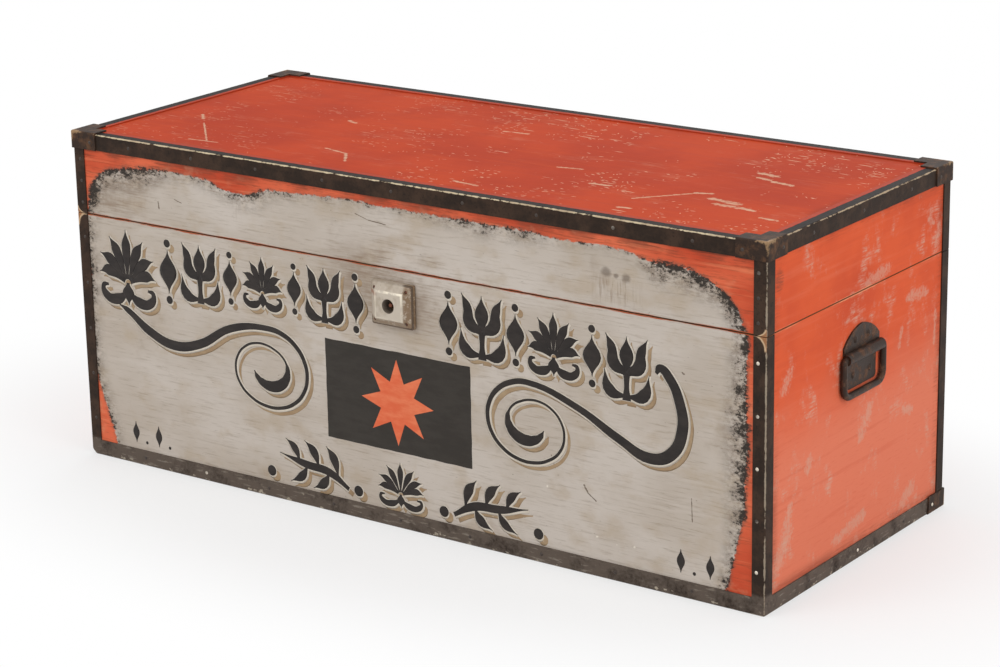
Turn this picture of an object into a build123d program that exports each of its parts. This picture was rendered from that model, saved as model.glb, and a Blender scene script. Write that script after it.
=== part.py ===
from build123d import *
import math
import os

# A painted wooden trunk with a hinged lid. Millimetres, +X along the trunk, +Y to the back, +Z up.
# The origin is on the floor, under the middle of the trunk.

# Boards, measured over the bare wood
case_length = 937.0
case_depth = 389.0
body_height = 298.5
lid_height = 95.5
seam_gap = 1.0
wall_thickness = 12.0
bottom_thickness = 10.0
top_thickness = 10.0
rabbet_depth = 6.0
seam_chamfer = 0.6

# Bent strips over the edges, and pressed caps over the corners
strip_thickness = 1.5
edge_strip_width = 19.0
post_strip_width = 15.5
arris_radius = 2.0
cap_thickness = 1.8
cap_leg = 38.0
cap_flange = 21.0
cap_seat_gap = 0.3
worn_left_corner = 12.0
worn_right_corner = 7.0

# Tacks that hold the strips and caps
tack_shank_radius = 0.9
tack_length = 8.0
tack_point = 2.0
tack_head_radius = 2.0
tack_head_height = 0.9
tack_edge_inset = 10.0
tack_pitch = 92.0
body_post_tack_pitch = 56.0
lid_post_tack_pitch = 24.0
drill_clearance = 0.05

# Lock: its place, its escutcheon outside and its case inside
keyhole_drop = 38.5
keyhole_radius = 8.0
escutcheon_width = 57.0
escutcheon_height = 50.0
escutcheon_plinth = 5.0
escutcheon_projection = 13.0
escutcheon_face_width = 36.0
escutcheon_face_height = 30.0
escutcheon_ledge = 1.0
escutcheon_corner_radius = 2.0
escutcheon_pin_inset = 7.0
escutcheon_pin_radius = 1.2
escutcheon_pin_head = 1.9
escutcheon_pin_length = 14.0
lock_width = 76.0
lock_height = 62.0
lock_depth = 13.0
lock_sheet = 1.5
lock_plate_width = 104.0
lock_plate_thickness = 2.0
lock_top_drop = 4.0
lock_screw_inset = 10.2
cover_screw_length = 6.5
cover_screw_point = 1.0
cover_screw_head_radius = 2.6
cover_post_overlap = 1.0
drill_pin_radius = 2.25
drill_pin_setback = 4.0
drill_pin_foot_radius = 6.0
drill_pin_foot = 1.2

# Lock bolt with two fingers, and the two staples that they catch
bolt_thickness = 3.0
bolt_travel = 8.0
bolt_bar_height = 11.0
bolt_bar_length = 55.0
bolt_finger_height = 4.0
bolt_riser_width = 4.5
bolt_finger_length = 12.0
finger_tip_gap = 1.0
bolt_side_gap = 1.0
bolt_play = 0.3
bolt_guide_radius = 2.0
bolt_guide_spacing = 30.0
bolt_shoulder_radius = 4.0
talon_radius = 6.0
talon_depth = 4.0
staple_spacing = 36.0
staple_thickness = 3.0
staple_depth = 9.0
staple_drop = 15.0
staple_window = 6.5
staple_window_floor = 2.5
staple_clearance = 1.2
strike_thickness = 2.0
strike_height = 26.0
strike_width = 70.0
strike_screw_spacing = 23.3
strike_screw_rise = 16.1
spring_thickness = 0.8
spring_width = 6.0

# Surface hinges on the back
hinge_from_middle = 290.0
hinge_width = 62.0
hinge_leaf_height = 38.0
hinge_leaf_thickness = 2.0
hinge_knuckles = 5
knuckle_radius = 5.0
knuckle_gap = 0.4
hinge_pin_radius = 2.5
hinge_pin_clearance = 0.05
hinge_pin_head_radius = 3.6
hinge_pin_head = 1.5
hinge_wood_gap = 0.3
hinge_notch_gap = 0.8
lid_opening_angle = 100.0
stop_reach = 9.0
stop_gap = 0.3
hinge_screw_inset = 10.2
hinge_screw_near = 17.1
hinge_screw_far = 29.6

# Wood screws
screw_head_radius = 3.4
screw_shank_radius = 1.7
screw_length = 10.0
screw_slot_width = 0.8
screw_slot_depth = 0.7

# Drop handles on the ends
handle_drop = 65.5
handle_plate_thickness = 2.0
handle_plate_width = 76.0
handle_shoulder = 12.0
handle_apex = 31.5
handle_dome_fullness = 0.62
tongue_width = 62.0
tongue_drop = 35.5
tongue_corner_radius = 5.0
bail_wire_radius = 3.8
bail_drop = 41.7
bail_side_gap = 0.4
bail_corner_radius = 12.0
bail_shoulder_radius = 4.4
bail_stub = 22.0
bail_play = 0.3
bail_wood_gap = 0.6
rivet_radius = 2.0
rivet_head_radius = 4.0
rivet_head_height = 1.8
rivet_washer_radius = 5.5
rivet_washer_thickness = 1.5
dome_rivet_spacing = 28.0
dome_rivet_rise = 17.0
tongue_rivet_spacing = 36.0
tongue_rivet_drop = 22.0

# Places that follow from the sizes above
half_length = case_length / 2
half_depth = case_depth / 2
body_bottom = strip_thickness
body_top = body_bottom + body_height
handle_height = body_top - handle_drop
lid_bottom = body_top + seam_gap
lid_top = lid_bottom + lid_height
seam_middle = (body_top + lid_bottom) / 2
outer_half_length = half_length + strip_thickness
outer_half_depth = half_depth + strip_thickness
outer_top = lid_top + strip_thickness
inner_half_length = half_length - wall_thickness
inner_half_depth = half_depth - wall_thickness
panel_half_length = inner_half_length + rabbet_depth
panel_half_depth = inner_half_depth + rabbet_depth
keyhole_height = body_top - keyhole_drop
lock_top = body_top - lock_top_drop
lock_bottom = lock_top - lock_height
tiny = 0.01
cut_past = 1.0


def block(x_span, y_span, z_span):
    """A box between two limits along each axis."""
    spans = (x_span, y_span, z_span)
    centre = [(low + high) / 2 for low, high in spans]
    sides = [high - low for low, high in spans]
    return Pos(*centre) * Box(*sides)


def spaced(low, high, pitch):
    """Evenly spaced places between two limits, about one pitch apart."""
    steps = max(1, round((high - low) / pitch))
    return [low + (high - low) * (step + 0.5) / steps for step in range(steps)]


def rounded_block(grow, z_span, round_top, round_bottom):
    """The trunk's outline grown outwards, with its upright and its chosen flat edges rounded."""
    solid = block(
        (-half_length - grow, half_length + grow),
        (-half_depth - grow, half_depth + grow),
        z_span,
    )
    edges = list(solid.edges().filter_by(Axis.Z))
    if round_top:
        edges += list(solid.edges().group_by(Axis.Z)[-1])
    if round_bottom:
        edges += list(solid.edges().group_by(Axis.Z)[0])
    return fillet(edges, arris_radius)


# Fasteners: each one stands on the plane z = 0 of its own place, with its head above it


def crown_point(radius, height):
    """The middle of a spherical head's outline, from its rim and its height."""
    ball = (radius**2 + height**2) / (2 * height)
    return (radius / 2, math.sqrt(ball**2 - radius**2 / 4) - ball + height)


def domed_fastener(shank_radius, length, point, head_radius, head_height):
    """A tack or rivet with a domed head, turned about Z."""
    with BuildPart() as made:
        with BuildSketch(Plane.XZ):
            with BuildLine():
                Polyline((0, -length), (shank_radius, point - length), (shank_radius, 0), (head_radius, 0))
                crown = crown_point(head_radius, head_height)
                ThreePointArc((head_radius, 0), crown, (0, head_height))
                Line((0, head_height), (0, -length))
            make_face()
        revolve(axis=Axis.Z)
    return made.part


def drill_tool(shank_radius, length):
    """What a fastener's hole takes out of the pieces it goes through."""
    radius = shank_radius + drill_clearance
    return Pos(0, 0, -length / 2) * Cylinder(radius, length + 2 * drill_clearance)


def countersunk_screw():
    """A slotted wood screw whose head lies flush with the plane z = 0."""
    with BuildPart() as made:
        with BuildSketch(Plane.XZ):
            with BuildLine():
                cone = screw_head_radius - screw_shank_radius
                Polyline(
                    (0, -screw_length),
                    (screw_shank_radius, screw_shank_radius - screw_length),
                    (screw_shank_radius, -cone),
                    (screw_head_radius, 0),
                    (0, 0),
                    (0, -screw_length),
                )
            make_face()
        revolve(axis=Axis.Z)
    slot = Pos(0, 0, -screw_slot_depth / 2) * Box(
        2 * screw_head_radius, screw_slot_width, screw_slot_depth
    )
    return made.part - slot


def countersink_tool():
    """The hole for a countersunk screw, in the leaf or plate and in the wood behind it."""
    cone = screw_head_radius - screw_shank_radius
    head = Pos(0, 0, -cone / 2) * Cone(
        screw_shank_radius + drill_clearance, screw_head_radius + drill_clearance, cone
    )
    mouth = Pos(0, 0, cut_past / 2) * Cylinder(screw_head_radius + drill_clearance, cut_past)
    return head + mouth + drill_tool(screw_shank_radius, screw_length)


def facing(normal, point):
    """The place of a fastener that sits at a point with its head along the normal."""
    return Plane(origin=point, z_dir=normal).location


def drill(piece, places, tool):
    """Cuts the tool at every place that reaches the piece."""
    reach = piece.bounding_box()
    tools = []
    for place in places:
        cutter = place * tool
        box = cutter.bounding_box()
        apart = (
            box.max.X < reach.min.X
            or box.min.X > reach.max.X
            or box.max.Y < reach.min.Y
            or box.min.Y > reach.max.Y
            or box.max.Z < reach.min.Z
            or box.min.Z > reach.max.Z
        )
        if not apart:
            tools.append(cutter)
    return piece - tools if tools else piece


def group(solids):
    """Several like solids that share a node."""
    return Compound([solid for shape in solids for solid in shape.solids()])


parts = {}

# Tacks

tack = domed_fastener(
    tack_shank_radius, tack_length, tack_point, tack_head_radius, tack_head_height
)
tack_tool = drill_tool(tack_shank_radius, tack_length)


def strip_tacks(z_edge, up, cap_corners):
    """Tacks through the side flanges of the four strips along one level of edges, and of their caps."""
    places = []
    side_z = z_edge - up * tack_edge_inset
    for side in (-1, 1):
        for x in spaced(-half_length + cap_leg, half_length - cap_leg, tack_pitch):
            places.append(facing((0, side, 0), (x, side * outer_half_depth, side_z)))
        for y in spaced(-half_depth + cap_leg, half_depth - cap_leg, tack_pitch):
            places.append(facing((side, 0, 0), (side * outer_half_length, y, side_z)))
    for x_side, y_side in cap_corners:
        along = cap_leg - tack_edge_inset
        x = x_side * (outer_half_length - along)
        y = y_side * (outer_half_depth - along)
        cap_face_x = x_side * (outer_half_length + cap_thickness)
        cap_face_y = y_side * (outer_half_depth + cap_thickness)
        places.append(facing((0, y_side, 0), (x, cap_face_y, side_z)))
        places.append(facing((x_side, 0, 0), (cap_face_x, y, side_z)))
    return places


def post_tacks(z_low, z_high, pitch):
    """Tacks through the front and back flanges of the four upright strips."""
    places = []
    for x_side, y_side in all_corners:
        x = x_side * (outer_half_length - tack_edge_inset)
        for z in spaced(z_low, z_high, pitch):
            places.append(facing((0, y_side, 0), (x, y_side * outer_half_depth, z)))
    return places


all_corners = [(x_side, y_side) for x_side in (-1, 1) for y_side in (-1, 1)]
back_corners = [(-1, 1), (1, 1)]
body_tack_places = strip_tacks(0, -1, back_corners)
body_tack_places += post_tacks(edge_strip_width, body_top, body_post_tack_pitch)
lid_tack_places = strip_tacks(outer_top, 1, all_corners)
lid_tack_places += post_tacks(lid_bottom, outer_top - edge_strip_width, lid_post_tack_pitch)
parts["body_tacks"] = group([place * tack for place in body_tack_places])
parts["lid_tacks"] = group([place * tack for place in lid_tack_places])

# Boards of the body and of the lid, each a rabbeted box with one open side


def boards(z_span, panel_span):
    """Front, back, left and right boards and the panel let into them."""
    panel = block(
        (-panel_half_length, panel_half_length), (-panel_half_depth, panel_half_depth), panel_span
    )
    made = {"panel": panel}
    for name, side in (("left", -1), ("right", 1)):
        x_span = sorted((side * inner_half_length, side * half_length))
        made[name] = block(x_span, (-panel_half_depth, panel_half_depth), z_span) - panel
    for name, side in (("front", -1), ("back", 1)):
        y_span = sorted((side * inner_half_depth, side * half_depth))
        long_board = block((-half_length, half_length), y_span, z_span)
        made[name] = long_board - [made["left"], made["right"], panel]
    return made


def ease_seam(made, z_seam):
    """Takes the sharp outer edge off the front and back boards along the seam."""
    for name, side in (("front", -1), ("back", 1)):
        along = made[name].edges().filter_by(Axis.X)
        level = along.filter_by_position(Axis.Z, z_seam - tiny, z_seam + tiny)
        outer = level.sort_by(Axis.Y)[0 if side < 0 else -1]
        made[name] = chamfer(outer, seam_chamfer)
    for name, side in (("left", -1), ("right", 1)):
        along = made[name].edges().filter_by(Axis.Y)
        level = along.filter_by_position(Axis.Z, z_seam - tiny, z_seam + tiny)
        outer = level.sort_by(Axis.X)[0 if side < 0 else -1]
        made[name] = chamfer(outer, seam_chamfer)
    return made


body = ease_seam(boards((body_bottom, body_top), (body_bottom, body_bottom + bottom_thickness)), body_top)
lid = ease_seam(boards((lid_bottom, lid_top), (lid_top - top_thickness, lid_top)), lid_bottom)

# Edge strips: one ring of bent strip round a level of edges, cut at its mitres


def edge_ring(z_edge, up):
    """A ring of L-section strip, with its outer faces on z_edge and on the trunk's outline."""
    z_far = z_edge - up * edge_strip_width
    z_inner = z_edge - up * strip_thickness
    outer = rounded_block(strip_thickness, sorted((z_edge, z_far)), up > 0, up < 0)
    past_end = z_far - up
    wood = block((-half_length, half_length), (-half_depth, half_depth), sorted((z_inner, past_end)))
    window = block(
        (edge_strip_width - outer_half_length, outer_half_length - edge_strip_width),
        (edge_strip_width - outer_half_depth, outer_half_depth - edge_strip_width),
        sorted((z_edge + up, past_end)),
    )
    return outer - [wood, window]


def mitred_sides(ring):
    """Cuts a ring at 45 degrees through its corners."""
    far_x = outer_half_length
    far_y = outer_half_depth
    near_x = outer_half_length - edge_strip_width
    near_y = outer_half_depth - edge_strip_width
    plans = {
        "front": [(-far_x, -far_y), (far_x, -far_y), (near_x, -near_y), (-near_x, -near_y)],
        "back": [(-far_x, far_y), (far_x, far_y), (near_x, near_y), (-near_x, near_y)],
        "left": [(-far_x, -far_y), (-far_x, far_y), (-near_x, near_y), (-near_x, -near_y)],
        "right": [(far_x, -far_y), (far_x, far_y), (near_x, near_y), (near_x, -near_y)],
    }
    made = {}
    tall = 4 * outer_top
    for name, plan in plans.items():
        prism = extrude(Plane.XY * make_face(Polyline(*plan, close=True)), tall, both=True)
        made[name] = ring & prism
    return made


def post_strips(z_span):
    """The four upright strips over the corner edges."""
    outer = rounded_block(strip_thickness, z_span, False, False)
    wood = block((-half_length, half_length), (-half_depth, half_depth), z_span)
    made = {}
    for (x_side, y_side) in all_corners:
        x_span = sorted((x_side * outer_half_length, x_side * (outer_half_length - post_strip_width)))
        y_span = sorted((y_side * outer_half_depth, y_side * (outer_half_depth - post_strip_width)))
        name = ("back" if y_side > 0 else "front") + ("_right" if x_side > 0 else "_left")
        made[name] = (outer & block(x_span, y_span, z_span)) - wood
    return made


def corner_region(x_side, y_side, reach, z_span):
    """A square post of space at one corner, measured inwards from the outside of the caps."""
    far_x = outer_half_length + cap_thickness
    far_y = outer_half_depth + cap_thickness
    return block(
        sorted((x_side * far_x, x_side * (far_x - reach))),
        sorted((y_side * far_y, y_side * (far_y - reach))),
        z_span,
    )


def top_cap(x_side, y_side):
    """A pressed cap over a lid corner: a flange down each side and an L-shaped flange on top."""
    cap_top = outer_top + cap_thickness
    z_span = (cap_top - cap_flange, cap_top)
    outer = rounded_block(strip_thickness + cap_thickness, z_span, True, False)
    inner = rounded_block(strip_thickness, (cap_top - cap_flange - 1, outer_top), True, False)
    shell = (outer & corner_region(x_side, y_side, cap_leg, z_span)) - inner
    inner_corner = block(
        sorted((0, x_side * (outer_half_length + cap_thickness - cap_flange))),
        sorted((0, y_side * (outer_half_depth + cap_thickness - cap_flange))),
        (outer_top - 1, cap_top + 1),
    )
    return shell - inner_corner


def bottom_cap(x_side, y_side):
    """A pressed cap over a lower corner. Its floor flange is let in flush with the strips."""
    z_span = (0, cap_flange)
    outer = rounded_block(strip_thickness + cap_thickness, z_span, False, True)
    inner = rounded_block(strip_thickness, (strip_thickness, cap_flange + 1), False, False)
    shell = (outer & corner_region(x_side, y_side, cap_leg, z_span)) - inner
    inner_corner = block(
        sorted((0, x_side * (outer_half_length + cap_thickness - cap_flange))),
        sorted((0, y_side * (outer_half_depth + cap_thickness - cap_flange))),
        (-1, strip_thickness + 1),
    )
    return shell - inner_corner


def wear_corner(piece, x_side, size):
    """Rounds a front lower corner that has lost its cap, as far as size along each edge."""
    region = block(
        sorted((x_side * (outer_half_length + 1), x_side * (outer_half_length - size))),
        (-outer_half_depth - 1, -outer_half_depth + size),
        (-1, size),
    )
    ball = Pos(x_side * (outer_half_length - size), size - outer_half_depth, size) * Sphere(
        size * math.sqrt(2)
    )
    return piece - (region - ball)


bottom_strips = mitred_sides(edge_ring(0, -1))
top_strips = mitred_sides(edge_ring(outer_top, 1))
body_posts = post_strips((edge_strip_width, body_top))
lid_posts = post_strips((lid_bottom, outer_top - edge_strip_width))

# The back lower caps, and the room that their floor flanges take in the strips
for name, x_side in (("left", -1), ("right", 1)):
    parts["back_" + name + "_bottom_cap"] = bottom_cap(x_side, 1)
    room = corner_region(x_side, 1, cap_leg + cap_seat_gap, (-1, strip_thickness + cap_seat_gap))
    for side in ("back", name):
        bottom_strips[side] = bottom_strips[side] - room
    worn = worn_left_corner if x_side < 0 else worn_right_corner
    for side in ("front", name):
        bottom_strips[side] = wear_corner(bottom_strips[side], x_side, worn)
        body[side] = wear_corner(body[side], x_side, worn)

for (x_side, y_side) in all_corners:
    name = ("back" if y_side > 0 else "front") + ("_right" if x_side > 0 else "_left")
    parts["lid_" + name + "_corner_cap"] = top_cap(x_side, y_side)

# Escutcheon: a stepped block with a round keyhole, pinned to the front


def escutcheon():
    face_y = -half_depth
    plinth = block(
        (-escutcheon_width / 2, escutcheon_width / 2),
        (face_y - escutcheon_plinth, face_y),
        (keyhole_height - escutcheon_height / 2, keyhole_height + escutcheon_height / 2),
    )
    plinth = fillet(plinth.edges().filter_by(Axis.Y), escutcheon_corner_radius)
    base_point = (0, face_y - escutcheon_plinth, keyhole_height)
    base_plane = Plane(origin=base_point, x_dir=(1, 0, 0), z_dir=(0, -1, 0))
    front_plane = base_plane.offset(escutcheon_projection - escutcheon_plinth)
    base_outline = base_plane * RectangleRounded(
        escutcheon_width - 2 * escutcheon_ledge,
        escutcheon_height - 2 * escutcheon_ledge,
        escutcheon_corner_radius,
    )
    front_outline = front_plane * RectangleRounded(
        escutcheon_face_width, escutcheon_face_height, escutcheon_corner_radius
    )
    pyramid = loft([base_outline, front_outline])
    return plinth + pyramid


def escutcheon_pin_places():
    """Four pins, square to the wall, set near the corners of the sloping faces."""
    places = []
    depth_share = escutcheon_pin_inset / ((escutcheon_width - escutcheon_face_width) / 2)
    rise = escutcheon_plinth + (escutcheon_projection - escutcheon_plinth) * min(1, depth_share) / 2
    for x_side in (-1, 1):
        for z_side in (-1, 1):
            x = x_side * (escutcheon_width / 2 - escutcheon_pin_inset)
            z = keyhole_height + z_side * (escutcheon_height / 2 - escutcheon_pin_inset)
            places.append(facing((0, -1, 0), (x, -half_depth - rise, z)))
    return places


keyhole_tool = (
    Pos(0, -half_depth, keyhole_height)
    * Rot(90, 0, 0)
    * Cylinder(keyhole_radius, 4 * (escutcheon_projection + wall_thickness))
)
escutcheon_pin = domed_fastener(
    escutcheon_pin_radius, escutcheon_pin_length, tack_point, escutcheon_pin_head, tack_head_height
)
pin_places = escutcheon_pin_places()
pin_tool = drill_tool(escutcheon_pin_radius, escutcheon_pin_length)
head_room = Pos(0, 0, escutcheon_projection / 2) * Cylinder(
    escutcheon_pin_head + drill_clearance, escutcheon_projection
)
parts["escutcheon"] = drill(
    escutcheon() - keyhole_tool, pin_places, pin_tool + head_room
)
parts["escutcheon_pins"] = group([place * escutcheon_pin for place in pin_places])

# Lock case on the inside of the front board

lock_back_y = -inner_half_depth
lock_box_y = lock_back_y + lock_plate_thickness
lock_cover_y = lock_back_y + lock_depth - lock_sheet
lock_half = lock_width / 2
bolt_y = (lock_box_y + lock_cover_y - bolt_thickness) / 2
staple_tip = body_top - staple_drop
window_floor = staple_tip + staple_window_floor
finger_top = window_floor + (staple_window + bolt_finger_height) / 2
finger_bottom = finger_top - bolt_finger_height
staple_y = bolt_y + bolt_thickness / 2
staple_xs = (-staple_spacing / 2, staple_spacing / 2)
bar_top = staple_tip - bolt_side_gap
bar_bottom = bar_top - bolt_bar_height
guide_height = (bar_top + bar_bottom) / 2
guide_xs = [side * bolt_guide_spacing / 2 - bolt_travel / 2 for side in (-1, 1)]
post_inset = lock_sheet + bolt_shoulder_radius - cover_post_overlap
cover_posts = [(side * (lock_half - post_inset), lock_bottom + post_inset) for side in (-1, 1)]


def along_y(radius, y_low, y_high, x, z):
    """A round bar that runs front to back."""
    return Pos(x, (y_low + y_high) / 2, z) * Rot(90, 0, 0) * Cylinder(radius, y_high - y_low)


def lock_case():
    plate = block(
        (-lock_plate_width / 2, lock_plate_width / 2), (lock_back_y, lock_box_y), (lock_bottom, lock_top)
    )
    walls = block((-lock_half, lock_half), (lock_box_y, lock_cover_y), (lock_bottom, lock_top))
    room = block(
        (-lock_half + lock_sheet, lock_half - lock_sheet),
        (lock_box_y, lock_cover_y),
        (lock_bottom + lock_sheet, lock_top - lock_sheet),
    )
    case = plate + (walls - room)
    for x in guide_xs:
        case = case + along_y(bolt_shoulder_radius, lock_box_y, bolt_y - bolt_play, x, guide_height)
        case = case + along_y(bolt_guide_radius, lock_box_y, lock_cover_y, x, guide_height)
    for x, z in cover_posts:
        case = case + along_y(bolt_shoulder_radius, lock_box_y, lock_cover_y, x, z)
    for x in staple_xs:
        case = case - block(
            (x - staple_thickness / 2 - staple_clearance, x + staple_thickness / 2 + staple_clearance),
            (staple_y - staple_depth / 2 - staple_clearance, staple_y + staple_depth / 2 + staple_clearance),
            (lock_top - 2 * lock_sheet, lock_top + cut_past),
        )
    return case - keyhole_tool


def lock_screw_places():
    """Screws through the ears of the lock's plate into the front board."""
    places = []
    ear = (lock_plate_width / 2 + lock_half) / 2
    for x_side in (-1, 1):
        for z in (lock_bottom + lock_screw_inset, lock_top - lock_screw_inset):
            places.append(facing((0, 1, 0), (x_side * ear, lock_box_y, z)))
    return places


lock_screw = countersunk_screw()
countersink = countersink_tool()
lock_places = lock_screw_places()
parts["lock_case"] = drill(lock_case(), lock_places, countersink)
parts["lock_screws"] = group([place * lock_screw for place in lock_places])

cover_screw = domed_fastener(
    tack_shank_radius, cover_screw_length, cover_screw_point, cover_screw_head_radius, tack_head_height
)
cover_screw_places = [
    facing((0, 1, 0), (x, lock_cover_y + lock_sheet, z)) for x, z in cover_posts
]
cover_tool = drill_tool(tack_shank_radius, cover_screw_length)
parts["lock_cover"] = drill(
    block((-lock_half, lock_half), (lock_cover_y, lock_cover_y + lock_sheet), (lock_bottom, lock_top)),
    cover_screw_places,
    cover_tool,
)
parts["lock_case"] = drill(parts["lock_case"], cover_screw_places, cover_tool)
parts["lock_cover_screws"] = group([place * cover_screw for place in cover_screw_places])

drill_pin_tip = -half_depth - escutcheon_projection + drill_pin_setback
drill_pin = along_y(drill_pin_radius, drill_pin_tip, lock_cover_y, 0, keyhole_height)
drill_pin = fillet(drill_pin.edges().sort_by(Axis.Y)[0], drill_pin_radius / 2)
parts["lock_drill_pin"] = drill_pin + along_y(
    drill_pin_foot_radius, lock_cover_y - drill_pin_foot, lock_cover_y, 0, keyhole_height
)

# Lock bolt: a bar on two guides, with a talon for the key and two fingers for the staples


def lock_bolt():
    y_span = (bolt_y, bolt_y + bolt_thickness)
    y_past = (bolt_y - cut_past, bolt_y + bolt_thickness + cut_past)
    first_riser = staple_xs[0] - staple_thickness / 2 - finger_tip_gap - bolt_finger_length
    bar = block((first_riser, first_riser + bolt_bar_length), y_span, (bar_bottom, bar_top))
    for x in staple_xs:
        tip = x - staple_thickness / 2 - finger_tip_gap
        root = tip - bolt_finger_length
        bar = bar + block((root, root + bolt_riser_width), y_span, (bar_top - cut_past, finger_top))
        bar = bar + block((root, tip), y_span, (finger_bottom, finger_top))
    for x in guide_xs:
        slot = block(
            (x - bolt_travel, x),
            y_past,
            (guide_height - bolt_guide_radius - bolt_play, guide_height + bolt_guide_radius + bolt_play),
        )
        for end in (x - bolt_travel, x):
            slot = slot + along_y(bolt_guide_radius + bolt_play, *y_past, end, guide_height)
        bar = bar - slot
    talon = along_y(talon_radius, *y_past, -bolt_travel / 2, bar_bottom + talon_depth - talon_radius)
    return bar - talon


parts["lock_bolt"] = lock_bolt()

spring_left = staple_xs[0] + staple_thickness / 2 + staple_clearance
spring_right = staple_xs[1] - staple_thickness / 2 - finger_tip_gap - bolt_finger_length - bolt_side_gap
parts["lock_spring"] = block(
    (spring_left, spring_right),
    (lock_box_y, lock_box_y + spring_width),
    (bar_top + bolt_play, bar_top + bolt_play + spring_thickness),
)

# Strike: a plate inside the lid's front rail, with two staples that drop into the lock


def strike():
    y_low = -inner_half_depth
    plate_span = (-strike_width / 2, strike_width / 2)
    plate = block(plate_span, (y_low, y_low + strike_thickness), (lid_bottom, lid_bottom + strike_height))
    staple_y_span = (staple_y - staple_depth / 2, staple_y + staple_depth / 2)
    shelf = block(plate_span, (y_low, staple_y_span[1]), (lid_bottom, lid_bottom + strike_thickness))
    made = plate + shelf
    for x in staple_xs:
        x_span = (x - staple_thickness / 2, x + staple_thickness / 2)
        staple = block(x_span, staple_y_span, (staple_tip, lid_bottom + strike_thickness))
        window = block(
            (x_span[0] - cut_past, x_span[1] + cut_past),
            (bolt_y - bolt_side_gap, bolt_y + bolt_thickness + bolt_side_gap),
            (window_floor, window_floor + staple_window),
        )
        made = made + (staple - window)
    return made


strike_places = [
    facing((0, 1, 0), (x, strike_thickness - inner_half_depth, lid_bottom + strike_screw_rise))
    for x in (-strike_screw_spacing, 0, strike_screw_spacing)
]
parts["lock_strike"] = drill(strike(), strike_places, countersink)
parts["strike_screws"] = group([place * lock_screw for place in strike_places])

# Hinges on the outside of the back: leaves, knuckles, pins and the lugs that stop the lid

hinge_y = half_depth + hinge_wood_gap + knuckle_radius
knuckle_length = (hinge_width - knuckle_gap * (hinge_knuckles - 1)) / hinge_knuckles


def along_x(radius, x_low, x_high):
    """A round bar on the hinge axis."""
    middle = Pos((x_low + x_high) / 2, hinge_y, seam_middle)
    return middle * Rot(0, 90, 0) * Cylinder(radius, x_high - x_low)


def knuckle_spans(centre, first):
    """Where a leaf's own knuckles lie along X: every second one, from the first or the second."""
    left = centre - hinge_width / 2
    spans = []
    for index in range(first, hinge_knuckles, 2):
        low = left + index * (knuckle_length + knuckle_gap)
        spans.append((low, low + knuckle_length))
    return spans


def hinge_leaf(centre, up, first):
    """A leaf on the back: a plate, tongues to its knuckles, and the bored knuckles."""
    near = seam_middle + up * (knuckle_radius + hinge_notch_gap)
    far = seam_middle + up * hinge_leaf_height
    y_span = (half_depth, half_depth + hinge_leaf_thickness)
    leaf = block((centre - hinge_width / 2, centre + hinge_width / 2), y_span, sorted((near, far)))
    leaf = fillet(
        leaf.edges().filter_by(Axis.Y).group_by(Axis.Z)[-1 if up > 0 else 0], arris_radius
    )
    start = seam_middle + up * seam_gap
    for x_span in knuckle_spans(centre, first):
        leaf = leaf + block(x_span, y_span, sorted((start, near + up * cut_past)))
        knuckle_end = near - up * hinge_notch_gap
        leaf = leaf + block(x_span, (half_depth + hinge_wood_gap, hinge_y), sorted((start, knuckle_end)))
        leaf = leaf + along_x(knuckle_radius, *x_span)
    return leaf - along_x(hinge_pin_radius + hinge_pin_clearance, centre - hinge_width, centre + hinge_width)


def stop_lug(x_span):
    """A lug that points back from a lid knuckle, and meets the body leaf when the lid is open."""
    turn = math.radians(lid_opening_angle)
    leaf_face = knuckle_radius + hinge_wood_gap - hinge_leaf_thickness - stop_gap
    half_height = (leaf_face + stop_reach * math.cos(turn)) / math.sin(turn)
    return block(
        x_span,
        (hinge_y + knuckle_radius - cut_past, hinge_y + stop_reach),
        (seam_middle - half_height, seam_middle + half_height),
    )


def hinge_screw_places(centre, up):
    """Three screws in a triangle through one leaf."""
    y = half_depth + hinge_leaf_thickness
    spread = hinge_width / 2 - hinge_screw_inset
    spots = [(-spread, hinge_screw_near), (spread, hinge_screw_near), (0, hinge_screw_far)]
    return [
        facing((0, 1, 0), (centre + x, y, seam_middle + up * rise))
        for x, rise in spots
    ]


hinge_centres = {"left": -hinge_from_middle, "right": hinge_from_middle}
body_hinge_places = []
lid_hinge_places = []
for name, centre in hinge_centres.items():
    body_places = hinge_screw_places(centre, -1)
    lid_places = hinge_screw_places(centre, 1)
    body_leaf = hinge_leaf(centre, -1, 0)
    lid_leaf = hinge_leaf(centre, 1, 1)
    for x_span in knuckle_spans(centre, 1):
        lid_leaf = lid_leaf + stop_lug(x_span)
    parts[name + "_hinge_body_leaf"] = drill(body_leaf, body_places, countersink)
    parts[name + "_hinge_lid_leaf"] = drill(lid_leaf, lid_places, countersink)
    ends = (centre - hinge_width / 2, centre + hinge_width / 2)
    pin = along_x(hinge_pin_radius, ends[0] - tiny, ends[1] + tiny)
    pin = pin + along_x(hinge_pin_head_radius, ends[0] - hinge_pin_head, ends[0])
    parts[name + "_hinge_pin"] = pin + along_x(hinge_pin_head_radius, ends[1], ends[1] + hinge_pin_head)
    body_hinge_places += body_places
    lid_hinge_places += lid_places
parts["hinge_body_screws"] = group([place * lock_screw for place in body_hinge_places])
parts["hinge_lid_screws"] = group([place * lock_screw for place in lid_hinge_places])

# Drop handles, made for the right end and mirrored for the left

bail_axis_x = half_length + bail_wood_gap + bail_wire_radius
roll_inner = bail_wire_radius + bail_play
roll_outer = roll_inner + handle_plate_thickness
bail_half = handle_plate_width / 2 + bail_side_gap + bail_wire_radius


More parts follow.
